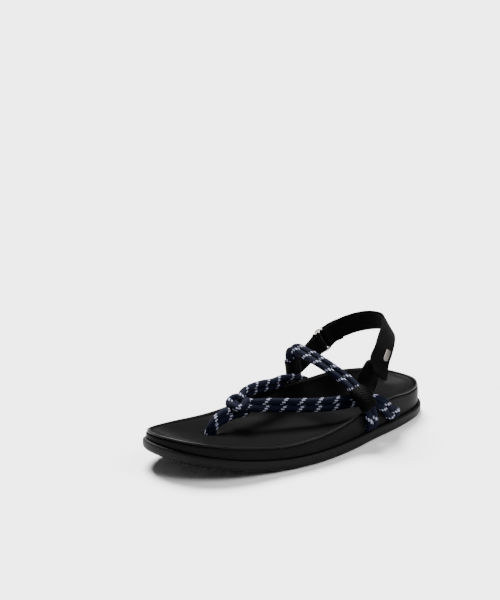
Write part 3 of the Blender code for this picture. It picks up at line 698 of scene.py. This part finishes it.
def metal_look(name, color, roughness, brushed):
    """Metal with fine lines, whose scale upwards is the share brushed of that across."""
    look = Look(name, color, roughness, metallic=1.0)
    lines = look.grain(900.0, stretch=brushed)
    look.gloss(lines, roughness - 0.06, roughness + 0.1)
    look.emboss(lines, 0.00006, 0.5)
    return look.material


# Sole

def shell(name, last, rows, looks, dent=None, second=()):
    """Closed shell round the sole.

    Rows are (inset, spread, height), spread being 0 on the middle line. A dent moves the finished points, and the
    rings of faces in second take the second look.
    """
    rings = len(rows) - 1

    def point(u, v):
        turn = tau * u
        inset, spread, height = rows[round(v * rings)]
        middle = last.middle(turn)
        plan = middle + (last.outline(turn, inset) - middle) * spread
        spot = Vector((*plan, height(plan, turn)))
        return dent(spot) if dent else spot

    def flat(u, v):
        return u * last.sole.length * 2.4, v * last.sole.ball_width

    return loft(name, SOLE_STEPS, rings, point, flat, looks, lambda u, v: int(v * rings) in second)


def arc(turns, radius, inset, level, height):
    """Rows of a rounding about an inset and a level; height gives a row's height function for its level."""
    return [(inset - radius * cos(turn), 1.0, height(level + radius * sin(turn))) for turn in turns]


def fading(distance, reach):
    return exp(-(distance / reach) ** 2)


def make_outsole(last, colors):
    thick = last.sole.outsole_thickness
    rows = [(TREAD_ROUNDING, share, last.over(0.0)) for share in fan(6)]
    rows += arc(fan(6, -pi / 2, 0.0)[1:], TREAD_ROUNDING, TREAD_ROUNDING, TREAD_ROUNDING, last.over)
    rows += arc(fan(6, 0.0, pi / 2), OUTSOLE_ROUNDING, OUTSOLE_ROUNDING, thick - OUTSOLE_ROUNDING, last.over)
    rows.append((OUTSOLE_ROUNDING + 0.0012, 1.0, last.over(thick - 0.0001)))
    rows += [(OUTSOLE_LIP + 0.0015, share, last.over(thick - 0.0003)) for share in (1.0, 0.7, 0.35, 0.0)]
    looks = [skin_look("outsole_rubber", colors.rubber, 0.58, 1300.0, 0.00012, 0.08), tread_look(colors.rubber)]
    piece = shell("outsole_rubber", last, rows, looks, second=range(TREAD_RINGS))
    hand_over("outsole_rubber", ["outsole"], piece)


def make_midsole(last, colors):
    thick = last.sole.outsole_thickness
    rims = sampled(lambda turn: last.bed_height(last.outline(turn, OUTSOLE_LIP + FOOTBED_STEP)), 0.0, tau, 720)

    def climb(share, drop=0.0):
        """Height part of the way up the wall, whose top lies under the bead."""
        def height(plan, turn):
            low = thick + last.spring(plan.y)
            return low + (rims(turn) - BEAD + drop - low) * share
        return height

    def under_bed(plan, turn):
        return last.bed_height(plan) - BEAD - 0.0006

    rows = [(OUTSOLE_LIP + 0.0008, share, last.over(thick + 0.0001)) for share in (0.0, 0.5, 1.0)]
    rows += [(OUTSOLE_LIP + 0.0002, 1.0, last.over(thick + 0.0002)),
             (OUTSOLE_LIP - 0.0002, 1.0, last.over(thick + 0.0008))]
    rows += [(OUTSOLE_LIP - WALL_BULGE * sin(pi * share), 1.0, climb(share)) for share in fan(8, 0.12, 0.86)]
    rows += arc(fan(6, 0.0, pi / 2)[1:], SHOULDER, OUTSOLE_LIP - 0.0001 + SHOULDER, -SHOULDER,
                lambda drop: climb(1.0, drop))
    rows += [(OUTSOLE_LIP + SHOULDER + 0.0012, share, under_bed) for share in (1.0, 0.8, 0.5, 0.25, 0.0)]
    pockets = [Vector((last.wall_x(side, along), last.plan(0.0, along).y, thick + CORD_DIAMETER / 2))
               for side in (1, -1) for along in (REAR_POCKET, FRONT_POCKET)]

    def dent(spot):
        for pocket in pockets:
            near = spot - pocket
            near.y *= POCKET_DENT_SQUEEZE
            spot.x -= POCKET_DENT * fading(near.length, POCKET_DENT_REACH) * (1 if pocket.x > 0 else -1)
        return spot

    looks = [skin_look("midsole_skin", colors.wall, 0.42, 900.0, 0.0001, 0.010)]
    hand_over("midsole_skin", ["midsole"], shell("midsole_wall", last, rows, looks, dent))


def make_footbed(last, colors):
    rim = OUTSOLE_LIP + FOOTBED_STEP
    radius = BEAD / 2
    hole = last.plan(TOE_HOLE_ACROSS, TOE_HOLE)

    def bed(drop):
        return lambda plan, turn: last.bed_height(plan) + drop

    underside = [(rim + radius, share, bed(-BEAD)) for share in (0.0, 0.3, 0.6, 0.85, 1.0)]
    bead = arc(fan(12, -pi / 2, pi / 2)[1:] + fan(4, pi / 2, 0.85 * pi)[1:], radius, rim + radius - BEAD_OVERHANG,
               -radius, bed)
    rows = underside + bead
    rows += [(rim + inset * BEAD, 1.0, bed(-VALLEY * share)) for inset, share in ((2, 1), (2.6, 0.55), (3.4, 0.2))]
    rows += [(rim + 3.4 * BEAD, share, bed(0.0)) for share in fan(22, 0.97, 0.0)]

    def dent(spot):
        near = spot.xy - hole
        near.y = max(abs(near.y) - CORD_DIAMETER / 2, 0.0)
        spot.z -= TOE_DENT * fading(near.length, TOE_DENT_REACH)
        return spot

    looks = [skin_look("footbed_skin", colors.bed, 0.38, 1400.0, 0.00008, 0.0035),
             skin_look("footbed_rim", colors.bed, 0.30, 1400.0, 0.00003, 0.05)]
    piece = shell("footbed_skin", last, rows, looks, dent, range(len(underside), len(underside + bead) - 1))
    hand_over("footbed_skin", ["footbed"], piece)


# Cords

def pocket_rows(last, side, pocket):
    """Rows of a doubled cord, as point and direction between strands, from its pocket to where it turns up."""
    radius = CORD_DIAMETER / 2
    wall = last.wall_x(side, pocket)
    y = last.plan(0.0, pocket).y
    seat = last.sole.outsole_thickness + radius + 2 * CLEARANCE
    steps = ((-CORD_SEAT, 0.0, 0.0), (-radius, 0.0, 0.0), (radius * 0.5, radius * 0.15, 0.0),
             (radius + 4 * CLEARANCE, radius * 1.3, 0.1))
    return [(Vector((wall + side * out, y, seat + up)), heading(0.0, -1.0, lean)) for out, up, lean in steps]


def wall_rows(last, side, table):
    rows = []
    for along, up, out, *pair in table:
        point = last.place((0.0, along, up))
        point.x = last.wall_x(side, along) + side * (CORD_DIAMETER / 2 + out)
        rows.append((point, heading(*pair)))
    return rows


def cord_line(last, pocket, before, table, after):
    """Length of a doubled cord from pocket to pocket, and a function of the distance along it.

    The function gives the middle of the pair, its heading and the direction from strand to strand.
    """
    rows = pocket_rows(last, 1, pocket) + wall_rows(last, 1, before)
    rows += [(last.place(row), heading(*row[3:])) for row in table]
    rows += wall_rows(last, -1, after) + pocket_rows(last, -1, pocket)[::-1]
    length, at = line_through(*zip(*rows))

    def frame_at(distance):
        center, along, pair = at(distance)
        return center, along, square_to(pair, along)

    return length, frame_at


def instep_line(last):
    return cord_line(last, FRONT_POCKET, INSTEP_LATERAL_WALL, INSTEP_CORD, INSTEP_MEDIAL_WALL)


def tube(name, frames, length, looks, phase=0.0, swell=0.0):
    """Round cord along frames, its UV map starting at phase; swell is how much thicker its middle is."""
    def point(u, v):
        center, side, up = frames[round(v * (len(frames) - 1))]
        turn = tau * u
        reach = CORD_DIAMETER / 2 * (1 + swell * sin(pi * v) ** 2)
        return center + (side * cos(turn) + up * sin(turn)) * reach

    def flat(u, v):
        return u * CORD_DIAMETER * pi, v * length + phase

    return loft(name, STRAND_SIDES, len(frames) - 1, point, flat, looks)


def strand(name, line, side, looks, phase=0.0):
    """One strand of a doubled cord."""
    length, frame_at = line
    frames = []
    for distance in fan(ceil(length / STRAND_STEP), 0.0, length):
        center, along, pair = frame_at(distance)
        frames.append((center + pair * side * PAIR_PITCH / 2, pair, along.cross(pair)))
    return tube(name, frames, length, looks, phase)


def toe_strand(last, looks):
    """The toe cord, its hitch drawn towards the knot's middle and thickened."""
    hole = last.plan(TOE_HOLE_ACROSS, TOE_HOLE)
    bottom = last.sole.outsole_thickness + last.spring(hole.y - 2 * CORD_DIAMETER) + CLEARANCE
    start = Vector((*hole, bottom))
    apart = Vector((0.0, (CORD_DIAMETER + CLEARANCE) / 2, 0.0))
    hitch = [last.place(row) for row in TOE_CORD]
    middle = sum(hitch, Vector()) / len(hitch)
    hitch = [spot.lerp(middle, KNOT_DRAW * smoothstep((spot.z - KNOT_FLOOR) / CORD_DIAMETER)) for spot in hitch]
    length, at = line_through([start - apart] + hitch + [start + apart])
    side = Vector((1.0, 0.0, 0.0))
    frames = []
    for distance in fan(ceil(length / STRAND_STEP), 0.0, length):
        center, along, _ = at(distance)
        side = square_to(side, along)
        frames.append((center, side, along.cross(side)))
    return tube("toe_cord", frames, length, looks, swell=KNOT_SWELL)


def join(name, pieces):
    """One piece of several."""
    mesh = bmesh.new()
    for piece in pieces:
        mesh.from_mesh(piece.data)
    looks = list(pieces[0].data.materials)
    for piece in pieces:
        bpy.data.objects.remove(piece)
    return finished(name, mesh, looks)


def make_front_cord(last, colors):
    looks = [cord_look(colors)]
    line = cord_line(last, REAR_POCKET, V_LATERAL_WALL, V_CORD, V_MEDIAL_WALL)
    pieces = [strand("v_cord_lower", line, -1, looks), strand("v_cord_upper", line, 1, looks, UPPER_PHASE),
              toe_strand(last, looks)]
    hand_over("navy_cord", ["front_rope"], join("front_cord", pieces))


def make_instep_cord(last, colors):
    looks = [cord_look(colors)]
    line = instep_line(last)
    pieces = [strand("instep_front", line, -1, looks), strand("instep_rear", line, 1, looks)]
    hand_over("navy_cord", ["instep_rope"], join("instep_cord", pieces))


# Webbing, strap and metal

def band_profile(width, thickness, layers, inset=0.0):
    """Closed section of a flat band with round edges, as (across, out) rows.

    Its layers show at the edges, and the innermost one is narrower by inset on each side.
    """
    layer = thickness / layers
    edge = layer * 0.45
    side = []
    for k in range(layers):
        level = layer * (k + 0.5) - thickness / 2
        half = width / 2 - (inset if k == 0 else 0.0)
        for lean in (-75, -40, 0, 40, 75):
            turn = radians(lean)
            side.append((half - edge + edge * cos(turn), level + layer / 2 * sin(turn)))
        if k < layers - 1:
            side.append((half - 1.7 * edge, level + layer / 2))
    flat = [(width * share, thickness / 2) for share in (0.4, 0.2, 0.0, -0.2, -0.4)]
    return side + flat + [(-x, y) for x, y in reversed(side)] + [(-x, -y) for x, y in flat]


def band_rows(last, table):
    return [last.place(row) for row in table], [heading(*row[3:]) for row in table]


def ribbon(points, widths):
    """Length of a band, and a function of the distance along it and of the lift off its middle.

    The function gives the point, the direction across the band and the one out of it.
    """
    length, at = line_through(points, widths)

    def frame_at(distance, lift=0.0):
        center, along, across = at(distance)
        across = across.normalized()
        out = across.cross(along).normalized()
        return center + out * lift, across, out

    return length, frame_at


def band(name, line, width, thickness, layers, looks, inset=0.0, narrowing=0.0):
    """Woven band along a ribbon's line. Its inner layer takes the last look; narrowing draws its middle in."""
    length, frame_at = line
    count = ceil(length / BAND_STEP)
    frames = [frame_at(distance) for distance in fan(count, 0.0, length)]
    profile = band_profile(width, thickness, layers, inset)
    steps = list(zip(profile, profile[1:] + profile[:1]))

    def point(u, v):
        center, across, out = frames[round(v * count)]
        x, y = profile[round(u * len(profile)) % len(profile)]
        return center + across * x * (1 - narrowing * sin(pi * v)) + out * y

    def part(u, v):
        first, second = steps[int(u * len(steps))]
        return len(looks) - 1 if first[1] + second[1] < 0 else 0

    travelled = [0.0]
    for first, second in steps:
        travelled.append(travelled[-1] + (Vector(second) - Vector(first)).length)

    def flat(u, v):
        return travelled[round(u * len(profile))], v * length

    return loft(name, len(profile), count, point, flat, looks, part)


def ring_frame(last):
    """Middle of the ring, its direction along the bars and the direction from the webbing to the strap."""
    center = last.place(RING_PLACE)
    bars = heading(*RING_ACROSS)
    return center, bars, square_to(last.place(HEEL_STRAP[0]) - center, bars)


def round_bar(bar, bars, legs, turns, thickness):
    """Line of a band folded round a bar. Its two legs run outwards, and turns are their directions across."""
    radius = RING_WIRE / 2 + BAR_PLAY + thickness / 2
    first, second = legs
    onwards = square_to((first[0] + second[0]) / 2 - bar, bars)
    out = bars.cross(onwards).normalized()
    if (first[0] - bar).dot(out) < 0:
        first, second = second, first
    bend = [bar + (out * sin(turn) + onwards * cos(turn)) * radius for turn in fan(6, pi / 2, 1.5 * pi)]
    return ribbon(first[::-1] + bend + second, turns[::-1] + [bars] * len(bend) + turns)


def seam(frame_at, distance, reach, lift, side=1):
    """Ends of a row of stitches across a band and the direction out of it, on one side or the other."""
    spot, across, out = frame_at(distance, side * lift)
    return spot - across * reach, spot + across * reach, out * side


def stitches(name, seams, looks):
    """Rows of small sewn stitches."""
    mesh = bmesh.new()
    for start, end, out in seams:
        run = end - start
        count = max(int(run.length / STITCH_PITCH), 1)
        along = run.normalized()
        side = out.cross(along).normalized()
        turn = Matrix((along, side, out)).transposed().to_4x4()
        grow = Matrix.Diagonal((STITCH_PITCH * 0.36, STITCH_WIDTH, STITCH_HEIGHT, 1.0))
        for k in range(count):
            center = start + run * (k + 0.5) / count
            bmesh.ops.create_icosphere(mesh, subdivisions=1, radius=1.0,
                                       matrix=Matrix.Translation(center) @ turn @ grow)
    return finished(name, mesh, looks)


def make_heel_strap(last, colors):
    outer = webbing_look("strap_outer", colors.strap, 0.0009, 0.5)
    inner = webbing_look("strap_lining", colors.lining, 0.0014, -0.9)
    center, bars, onwards = ring_frame(last)
    bar = center + onwards * RING_PITCH / 2
    points, widths = band_rows(last, HEEL_STRAP[1:])
    start = [bar + onwards * distance for distance in STRAP_START]
    line = ribbon(start + points, [bars] * len(start) + widths)
    strap = band("heel_strap_body", line, STRAP_WIDTH, STRAP_THICKNESS, 2, [outer, inner], LINING_INSET)
    length, frame_at = line
    lift = (STRAP_THICKNESS + STRAP_FOLD) / 2 - PRESSED_IN
    legs = [[frame_at(stop, side * lift)[0] for stop in FOLD_STOPS] for side in (1, -1)]
    turns = [frame_at(stop)[1] for stop in FOLD_STOPS]
    fold = band("heel_strap_fold", round_bar(bar, bars, legs, turns, STRAP_FOLD), STRAP_WIDTH - 2 * FOLD_MARGIN,
                STRAP_FOLD, 1, [outer])
    reach = STRAP_WIDTH / 2 - SEAM_MARGIN
    top = STRAP_THICKNESS / 2 + STRAP_FOLD - PRESSED_IN / 2
    seams = [seam(frame_at, FOLD_STOPS[-1] - before, reach, top, side)
             for before in SEAMS_BEFORE_END for side in (1, -1)]
    seams += [seam(frame_at, length - before, reach, STRAP_THICKNESS / 2) for before in SEAMS_BEFORE_END]
    thread = stitches("strap_stitches", seams, [thread_look(colors.thread)])
    hand_over("strap_fabric", ["heel_strap"], strap, fold, thread)


def sleeve(name, line, share, looks):
    """Webbing sewn round the doubled instep cord, as an open sleeve; share is its place on the cord."""
    length, frame_at = line
    start = length * share - WEBBING_WIDTH / 2
    inner = CORD_DIAMETER / 2 + SLEEVE_PLAY
    outer = inner + WEBBING_THICKNESS
    first = (0.0, inner + SLEEVE_EDGE)
    rows = [first, (0.0, outer - SLEEVE_EDGE), (SLEEVE_EDGE, outer)]
    rows += [(distance, outer) for distance in fan(18, 0.0, WEBBING_WIDTH)[1:-1]]
    rows += [(WEBBING_WIDTH - SLEEVE_EDGE, outer), (WEBBING_WIDTH, outer - SLEEVE_EDGE),
             (WEBBING_WIDTH, inner + SLEEVE_EDGE)]
    rows += [(distance, inner) for distance in fan(6, WEBBING_WIDTH, 0.0)[1:-1]] + [first]

    def point(u, v):
        distance, radius = rows[round(v * (len(rows) - 1))]
        center, along, pair = frame_at(start + distance)
        turn = tau * u
        side = 1 if cos(turn) >= 0 else -1
        across = pair * (side * PAIR_PITCH / 2 + radius * cos(turn))
        return center + across + along.cross(pair) * radius * sin(turn)

    return loft(name, SLEEVE_SIDES, len(rows) - 1, point, lambda u, v: (v * SLEEVE_GIRTH, u * SLEEVE_GIRTH), looks)


def make_lateral_loop(last, colors):
    looks = [webbing_look("ribbed_webbing", colors.webbing, 0.0011, 0.35)]
    around_cord = sleeve("lateral_sleeve", instep_line(last), LATERAL_SLEEVE, looks)
    line = ribbon(*band_rows(last, LATERAL_BAND))
    strip = band("lateral_strip", line, WEBBING_WIDTH, 2 * WEBBING_THICKNESS, 2, looks, narrowing=STRIP_NARROWING)
    loop = join("lateral_webbing", [around_cord, strip])
    reach = WEBBING_WIDTH / 2 - LATERAL_SEAM_MARGIN
    seams = [seam(line[1], distance, reach, WEBBING_THICKNESS) for distance in LATERAL_SEAMS]
    thread = stitches("lateral_stitches", seams, [thread_look(colors.thread)])
    hand_over("black_webbing", ["lateral_loop"], loop, thread)


def make_medial_loop(last, colors):
    looks = [webbing_look("ribbed_webbing", colors.webbing, 0.0011, 0.35)]
    line = instep_line(last)
    around_cord = sleeve("medial_sleeve", line, MEDIAL_SLEEVE, looks)
    length, frame_at = line
    middle, cord_along, pair = frame_at(length * MEDIAL_SLEEVE)
    center, bars, onwards = ring_frame(last)
    bar = center - onwards * RING_PITCH / 2
    rise = PAIR_PITCH / 2 + CORD_DIAMETER / 2 + CLEARANCE + WEBBING_THICKNESS / 2
    run = middle + pair * rise - bar
    turns = [(bars * (1 - share) - cord_along * share).normalized() for share in MEDIAL_STOPS]
    legs = []
    for side in (1, -1):
        leg = []
        for share, across in zip(MEDIAL_STOPS, turns):
            apart = WEBBING_THICKNESS / 2 + LEG_SPREAD * (1 - smoothstep(share / 0.5))
            leg.append(bar + run * share + across.cross(run).normalized() * side * apart)
        legs.append(leg)
    strip = band("medial_strip", round_bar(bar, bars, legs, turns, WEBBING_THICKNESS), WEBBING_WIDTH,
                 WEBBING_THICKNESS, 1, looks)
    hand_over("black_webbing", ["medial_loop"], join("medial_webbing", [around_cord, strip]))


def make_ring(last, colors):
    center, bars, onwards = ring_frame(last)
    out = bars.cross(onwards)
    half_width = STRAP_WIDTH / 2 + 2 * CLEARANCE + RING_WIRE / 2
    half_length = RING_PITCH / 2
    bend = RING_WIRE * 0.9
    rounds = []
    for quarter, (across, forward) in enumerate(((1, 1), (-1, 1), (-1, -1), (1, -1))):
        middle = center + bars * across * (half_width - bend) + onwards * forward * (half_length - bend)
        for turn in fan(8, quarter * pi / 2, (quarter + 1) * pi / 2):
            spoke = bars * cos(turn) + onwards * sin(turn)
            rounds.append((middle + spoke * bend, spoke))

    def point(u, v):
        spot, spoke = rounds[round(v * len(rounds)) % len(rounds)]
        return spot + (spoke * cos(tau * u) + out * sin(tau * u)) * RING_WIRE / 2

    ring = loft("ring_wire", RING_SIDES, len(rounds), point, lambda u, v: (u * RING_WIRE * pi, v * 0.05),
                [metal_look("polished_steel", colors.ring, 0.22, 0.2)])
    hand_over("polished_steel", ["ring"], ring)


def bevel(mesh, edges, offset, segments):
    bmesh.ops.bevel(mesh, geom=edges, offset=offset, offset_type="OFFSET", affect="EDGES", segments=segments,
                    profile=0.5, material=-1)


def make_plate(last, colors):
    mesh = bmesh.new()
    bmesh.ops.create_cube(mesh, size=1.0)
    bmesh.ops.scale(mesh, vec=(PLATE_LENGTH, PLATE_FACE, PLATE_THICKNESS), verts=mesh.verts)
    upright = [edge for edge in mesh.edges if abs(edge.verts[0].co.z - edge.verts[1].co.z) > PLATE_THICKNESS / 2]
    bevel(mesh, upright, PLATE_FACE * 0.42, 8)
    rim = [edge for edge in mesh.edges if edge.calc_face_angle(0.0) > 1.2 and min(v.co.z for v in edge.verts) > 0]
    bevel(mesh, rim, PLATE_THICKNESS * 0.4, 3)
    for k in range(1, PLATE_PARTS):
        bmesh.ops.bisect_plane(mesh, geom=mesh.verts[:] + mesh.edges[:] + mesh.faces[:], dist=1e-7,
                               plane_co=(PLATE_LENGTH * (k / PLATE_PARTS - 0.5), 0.0, 0.0), plane_no=(1.0, 0.0, 0.0))
    length, frame_at = ribbon(*band_rows(last, HEEL_STRAP))
    lift = (STRAP_THICKNESS + PLATE_THICKNESS) / 2 + CLEARANCE
    for vert in mesh.verts:
        spot, across, out = frame_at(length * PLATE_PLACE + vert.co.x, lift)
        vert.co = spot + across * (vert.co.y - STRAP_WIDTH * PLATE_DROP) + out * vert.co.z
    plate = finished("strap_plate_metal", mesh, [metal_look("brushed_plate", colors.plate, 0.46, 0.15)])
    hand_over("brushed_plate", ["strap_plate"], plate)


# Stage

def make_stage(context):
    scene = context.scene
    stage = scene.sandal_stage
    mesh = bmesh.new()
    bmesh.ops.create_grid(mesh, x_segments=1, y_segments=1, size=FLOOR_REACH)
    bmesh.ops.translate(mesh, vec=(0.0, 0.0, -FLOOR_DROP), verts=mesh.verts)
    floor = finished("floor", mesh, [Look("studio_floor", (0.86, 0.86, 0.86), 0.9, 0.1).material])

    world = bpy.data.worlds.new("studio")
    world.use_nodes = True
    background = world.node_tree.nodes["Background"]
    background.inputs[0].default_value = (1.0, 1.0, 1.0, 1.0)
    background.inputs[1].default_value = stage.sky
    scene.world = world

    for name, source, softness, power in STUDIO_LIGHTS:
        light = bpy.data.lights.new(name, "SUN")
        light.angle = softness
        light.energy = power * stage.light
        lamp = bpy.data.objects.new(name, light)
        scene.collection.objects.link(lamp)
        lamp.location = source
        lamp.rotation_mode = "QUATERNION"
        lamp.rotation_quaternion = Vector(source).to_track_quat("Z", "Y")

    turn, rise = stage.azimuth, stage.elevation
    right = Vector((cos(turn), sin(turn), 0.0))
    out = Vector((sin(turn) * cos(rise), -cos(turn) * cos(rise), sin(rise)))
    focus = VIEW_SCALE * stage.distance
    back = (out * focus + right * VIEW_OFFSET[0] + out.cross(right) * VIEW_OFFSET[1]).normalized()
    level = Vector((0.0, 0.0, 1.0)).cross(back).normalized()
    spot = Vector((Last(scene.sandal_sole).axis_x, 0.0, VIEW_HEIGHT)) + out * stage.distance
    camera = bpy.data.cameras.new("camera")
    camera.sensor_width = SENSOR
    camera.lens = SENSOR * focus / PICTURE_HEIGHT
    view = bpy.data.objects.new("camera", camera)
    scene.collection.objects.link(view)
    view.matrix_world = Matrix.Translation(spot) @ Matrix((level, back.cross(level), back)).transposed().to_4x4()
    scene.camera = view


# Settings, tools and panel

def number_of(name, description, default, **limits):
    return bpy.props.FloatProperty(name=name, description=description, default=default, **limits)


def length_of(name, description, default, low, high):
    return number_of(name, description, default, min=low, max=high, unit="LENGTH")


def color_of(name, description, *default):
    """Colour setting, grey where default is one number."""
    return bpy.props.FloatVectorProperty(name=name, description=description, default=(default * 3)[:3], size=3,
                                         min=0.0, max=1.0, subtype="COLOR")


class SandalSole(bpy.types.PropertyGroup):
    """Sizes of the sole, which the cords and straps follow."""

    length: length_of("Length", "Length of the outsole", SOLE_LENGTH, 0.2, 0.35)
    ball_width: length_of("Ball width", "Width that the outline's shares refer to", 0.1075, 0.08, 0.13)
    outsole_thickness: length_of("Outsole", "Thickness of the rubber outsole", 0.0092, 0.004, 0.02)
    rim_rise: length_of("Rim rise", "Height that the footbed's shares refer to", 0.0275, 0.01, 0.04)
    toe_spring: length_of("Toe spring", "Lift of the sole's tip off the ground", 0.016, 0.0, 0.04)


class SandalColors(bpy.types.PropertyGroup):
    """Colours of the sandal's pieces."""

    cord: color_of("Cord", "Braided cord", 0.0036, 0.0047, 0.0110)
    tracer: color_of("Tracer", "Light yarn in the cord", 0.27, 0.28, 0.36)
    webbing: color_of("Webbing", "Loops at the sides", 0.0008)
    strap: color_of("Heel strap", "Outer side of the heel strap", 0.0009)
    lining: color_of("Lining", "Inner side of the heel strap", 0.0012)
    thread: color_of("Thread", "Stitches", 0.0016)
    bed: color_of("Footbed", "Coated top of the footbed", 0.0030)
    wall: color_of("Wall", "Side wall of the midsole", 0.0042)
    rubber: color_of("Rubber", "Outsole", 0.0024, 0.0024, 0.0025)
    ring: color_of("Ring", "Rectangular ring at the inner side", 0.72, 0.68, 0.62)
    plate: color_of("Plate", "Small plate on the tab", 0.11, 0.10, 0.092)


class SandalStage(bpy.types.PropertyGroup):
    """Camera and light."""

    azimuth: number_of("Azimuth", "Camera's turn round the sandal", radians(46.0), subtype="ANGLE")
    elevation: number_of("Elevation", "Camera's height as an angle", radians(18.52), subtype="ANGLE")
    distance: length_of("Distance", "Camera's distance", 1.566, 0.5, 5.0)
    sky: number_of("Sky", "Strength of the even light", 0.15, min=0.0, max=4.0)
    light: number_of("Lamps", "Strength of the lamps", 1.0, min=0.0, max=4.0)


class Maker:
    """Makes pieces from the panel's sizes and colours."""

    makers = ()

    def execute(self, context):
        last = Last(context.scene.sandal_sole)
        for make in self.makers:
            make(last, context.scene.sandal_colors)
        return {"FINISHED"}


class SANDAL_OT_sole(Maker, bpy.types.Operator):
    """Make the outsole, the midsole and the footbed"""

    bl_idname = "sandal.sole"
    bl_label = "Sole"
    makers = (make_outsole, make_midsole, make_footbed)


class SANDAL_OT_cords(Maker, bpy.types.Operator):
    """Make the braided cords with the knot"""

    bl_idname = "sandal.cords"
    bl_label = "Cords"
    makers = (make_front_cord, make_instep_cord)


class SANDAL_OT_webbing(Maker, bpy.types.Operator):
    """Make the webbing loops at both sides"""

    bl_idname = "sandal.webbing"
    bl_label = "Webbing loops"
    makers = (make_lateral_loop, make_medial_loop)


class SANDAL_OT_heel_strap(Maker, bpy.types.Operator):
    """Make the heel strap with its fold and stitches"""

    bl_idname = "sandal.heel_strap"
    bl_label = "Heel strap"
    makers = (make_heel_strap,)


class SANDAL_OT_metal(Maker, bpy.types.Operator):
    """Make the ring and the small plate"""

    bl_idname = "sandal.metal"
    bl_label = "Ring and plate"
    makers = (make_ring, make_plate)


class SANDAL_OT_stage(bpy.types.Operator):
    """Make the floor, the studio light and the camera"""

    bl_idname = "sandal.stage"
    bl_label = "Stage"

    def execute(self, context):
        make_stage(context)
        return {"FINISHED"}


GROUPS = {"sandal_sole": SandalSole, "sandal_colors": SandalColors, "sandal_stage": SandalStage}
TOOLS = (SANDAL_OT_stage, SANDAL_OT_sole, SANDAL_OT_cords, SANDAL_OT_webbing, SANDAL_OT_heel_strap, SANDAL_OT_metal)


class SANDAL_PT_panel(bpy.types.Panel):
    """Sizes, colours and tools of the rope sandal"""

    bl_idname = "SANDAL_PT_panel"
    bl_label = "Rope sandal"
    bl_space_type = "VIEW_3D"
    bl_region_type = "UI"
    bl_category = "Sandal"

    def draw(self, context):
        for key, group in GROUPS.items():
            box = self.layout.box()
            for name in group.__annotations__:
                box.prop(getattr(context.scene, key), name)
        for tool in TOOLS:
            self.layout.operator(tool.bl_idname)


KINDS = (*GROUPS.values(), *TOOLS, SANDAL_PT_panel)


def register():
    for kind in KINDS:
        bpy.utils.register_class(kind)
    for key, group in GROUPS.items():
        setattr(bpy.types.Scene, key, bpy.props.PointerProperty(type=group))


def unregister():
    for key in GROUPS:
        delattr(bpy.types.Scene, key)
    for kind in reversed(KINDS):
        bpy.utils.unregister_class(kind)


def main():
    register()
    bpy.ops.sandal.stage()
    bpy.ops.sandal.sole()
    bpy.ops.sandal.cords()
    bpy.ops.sandal.webbing()
    bpy.ops.sandal.heel_strap()
    bpy.ops.sandal.metal()


if __name__ == "__main__":
    main()
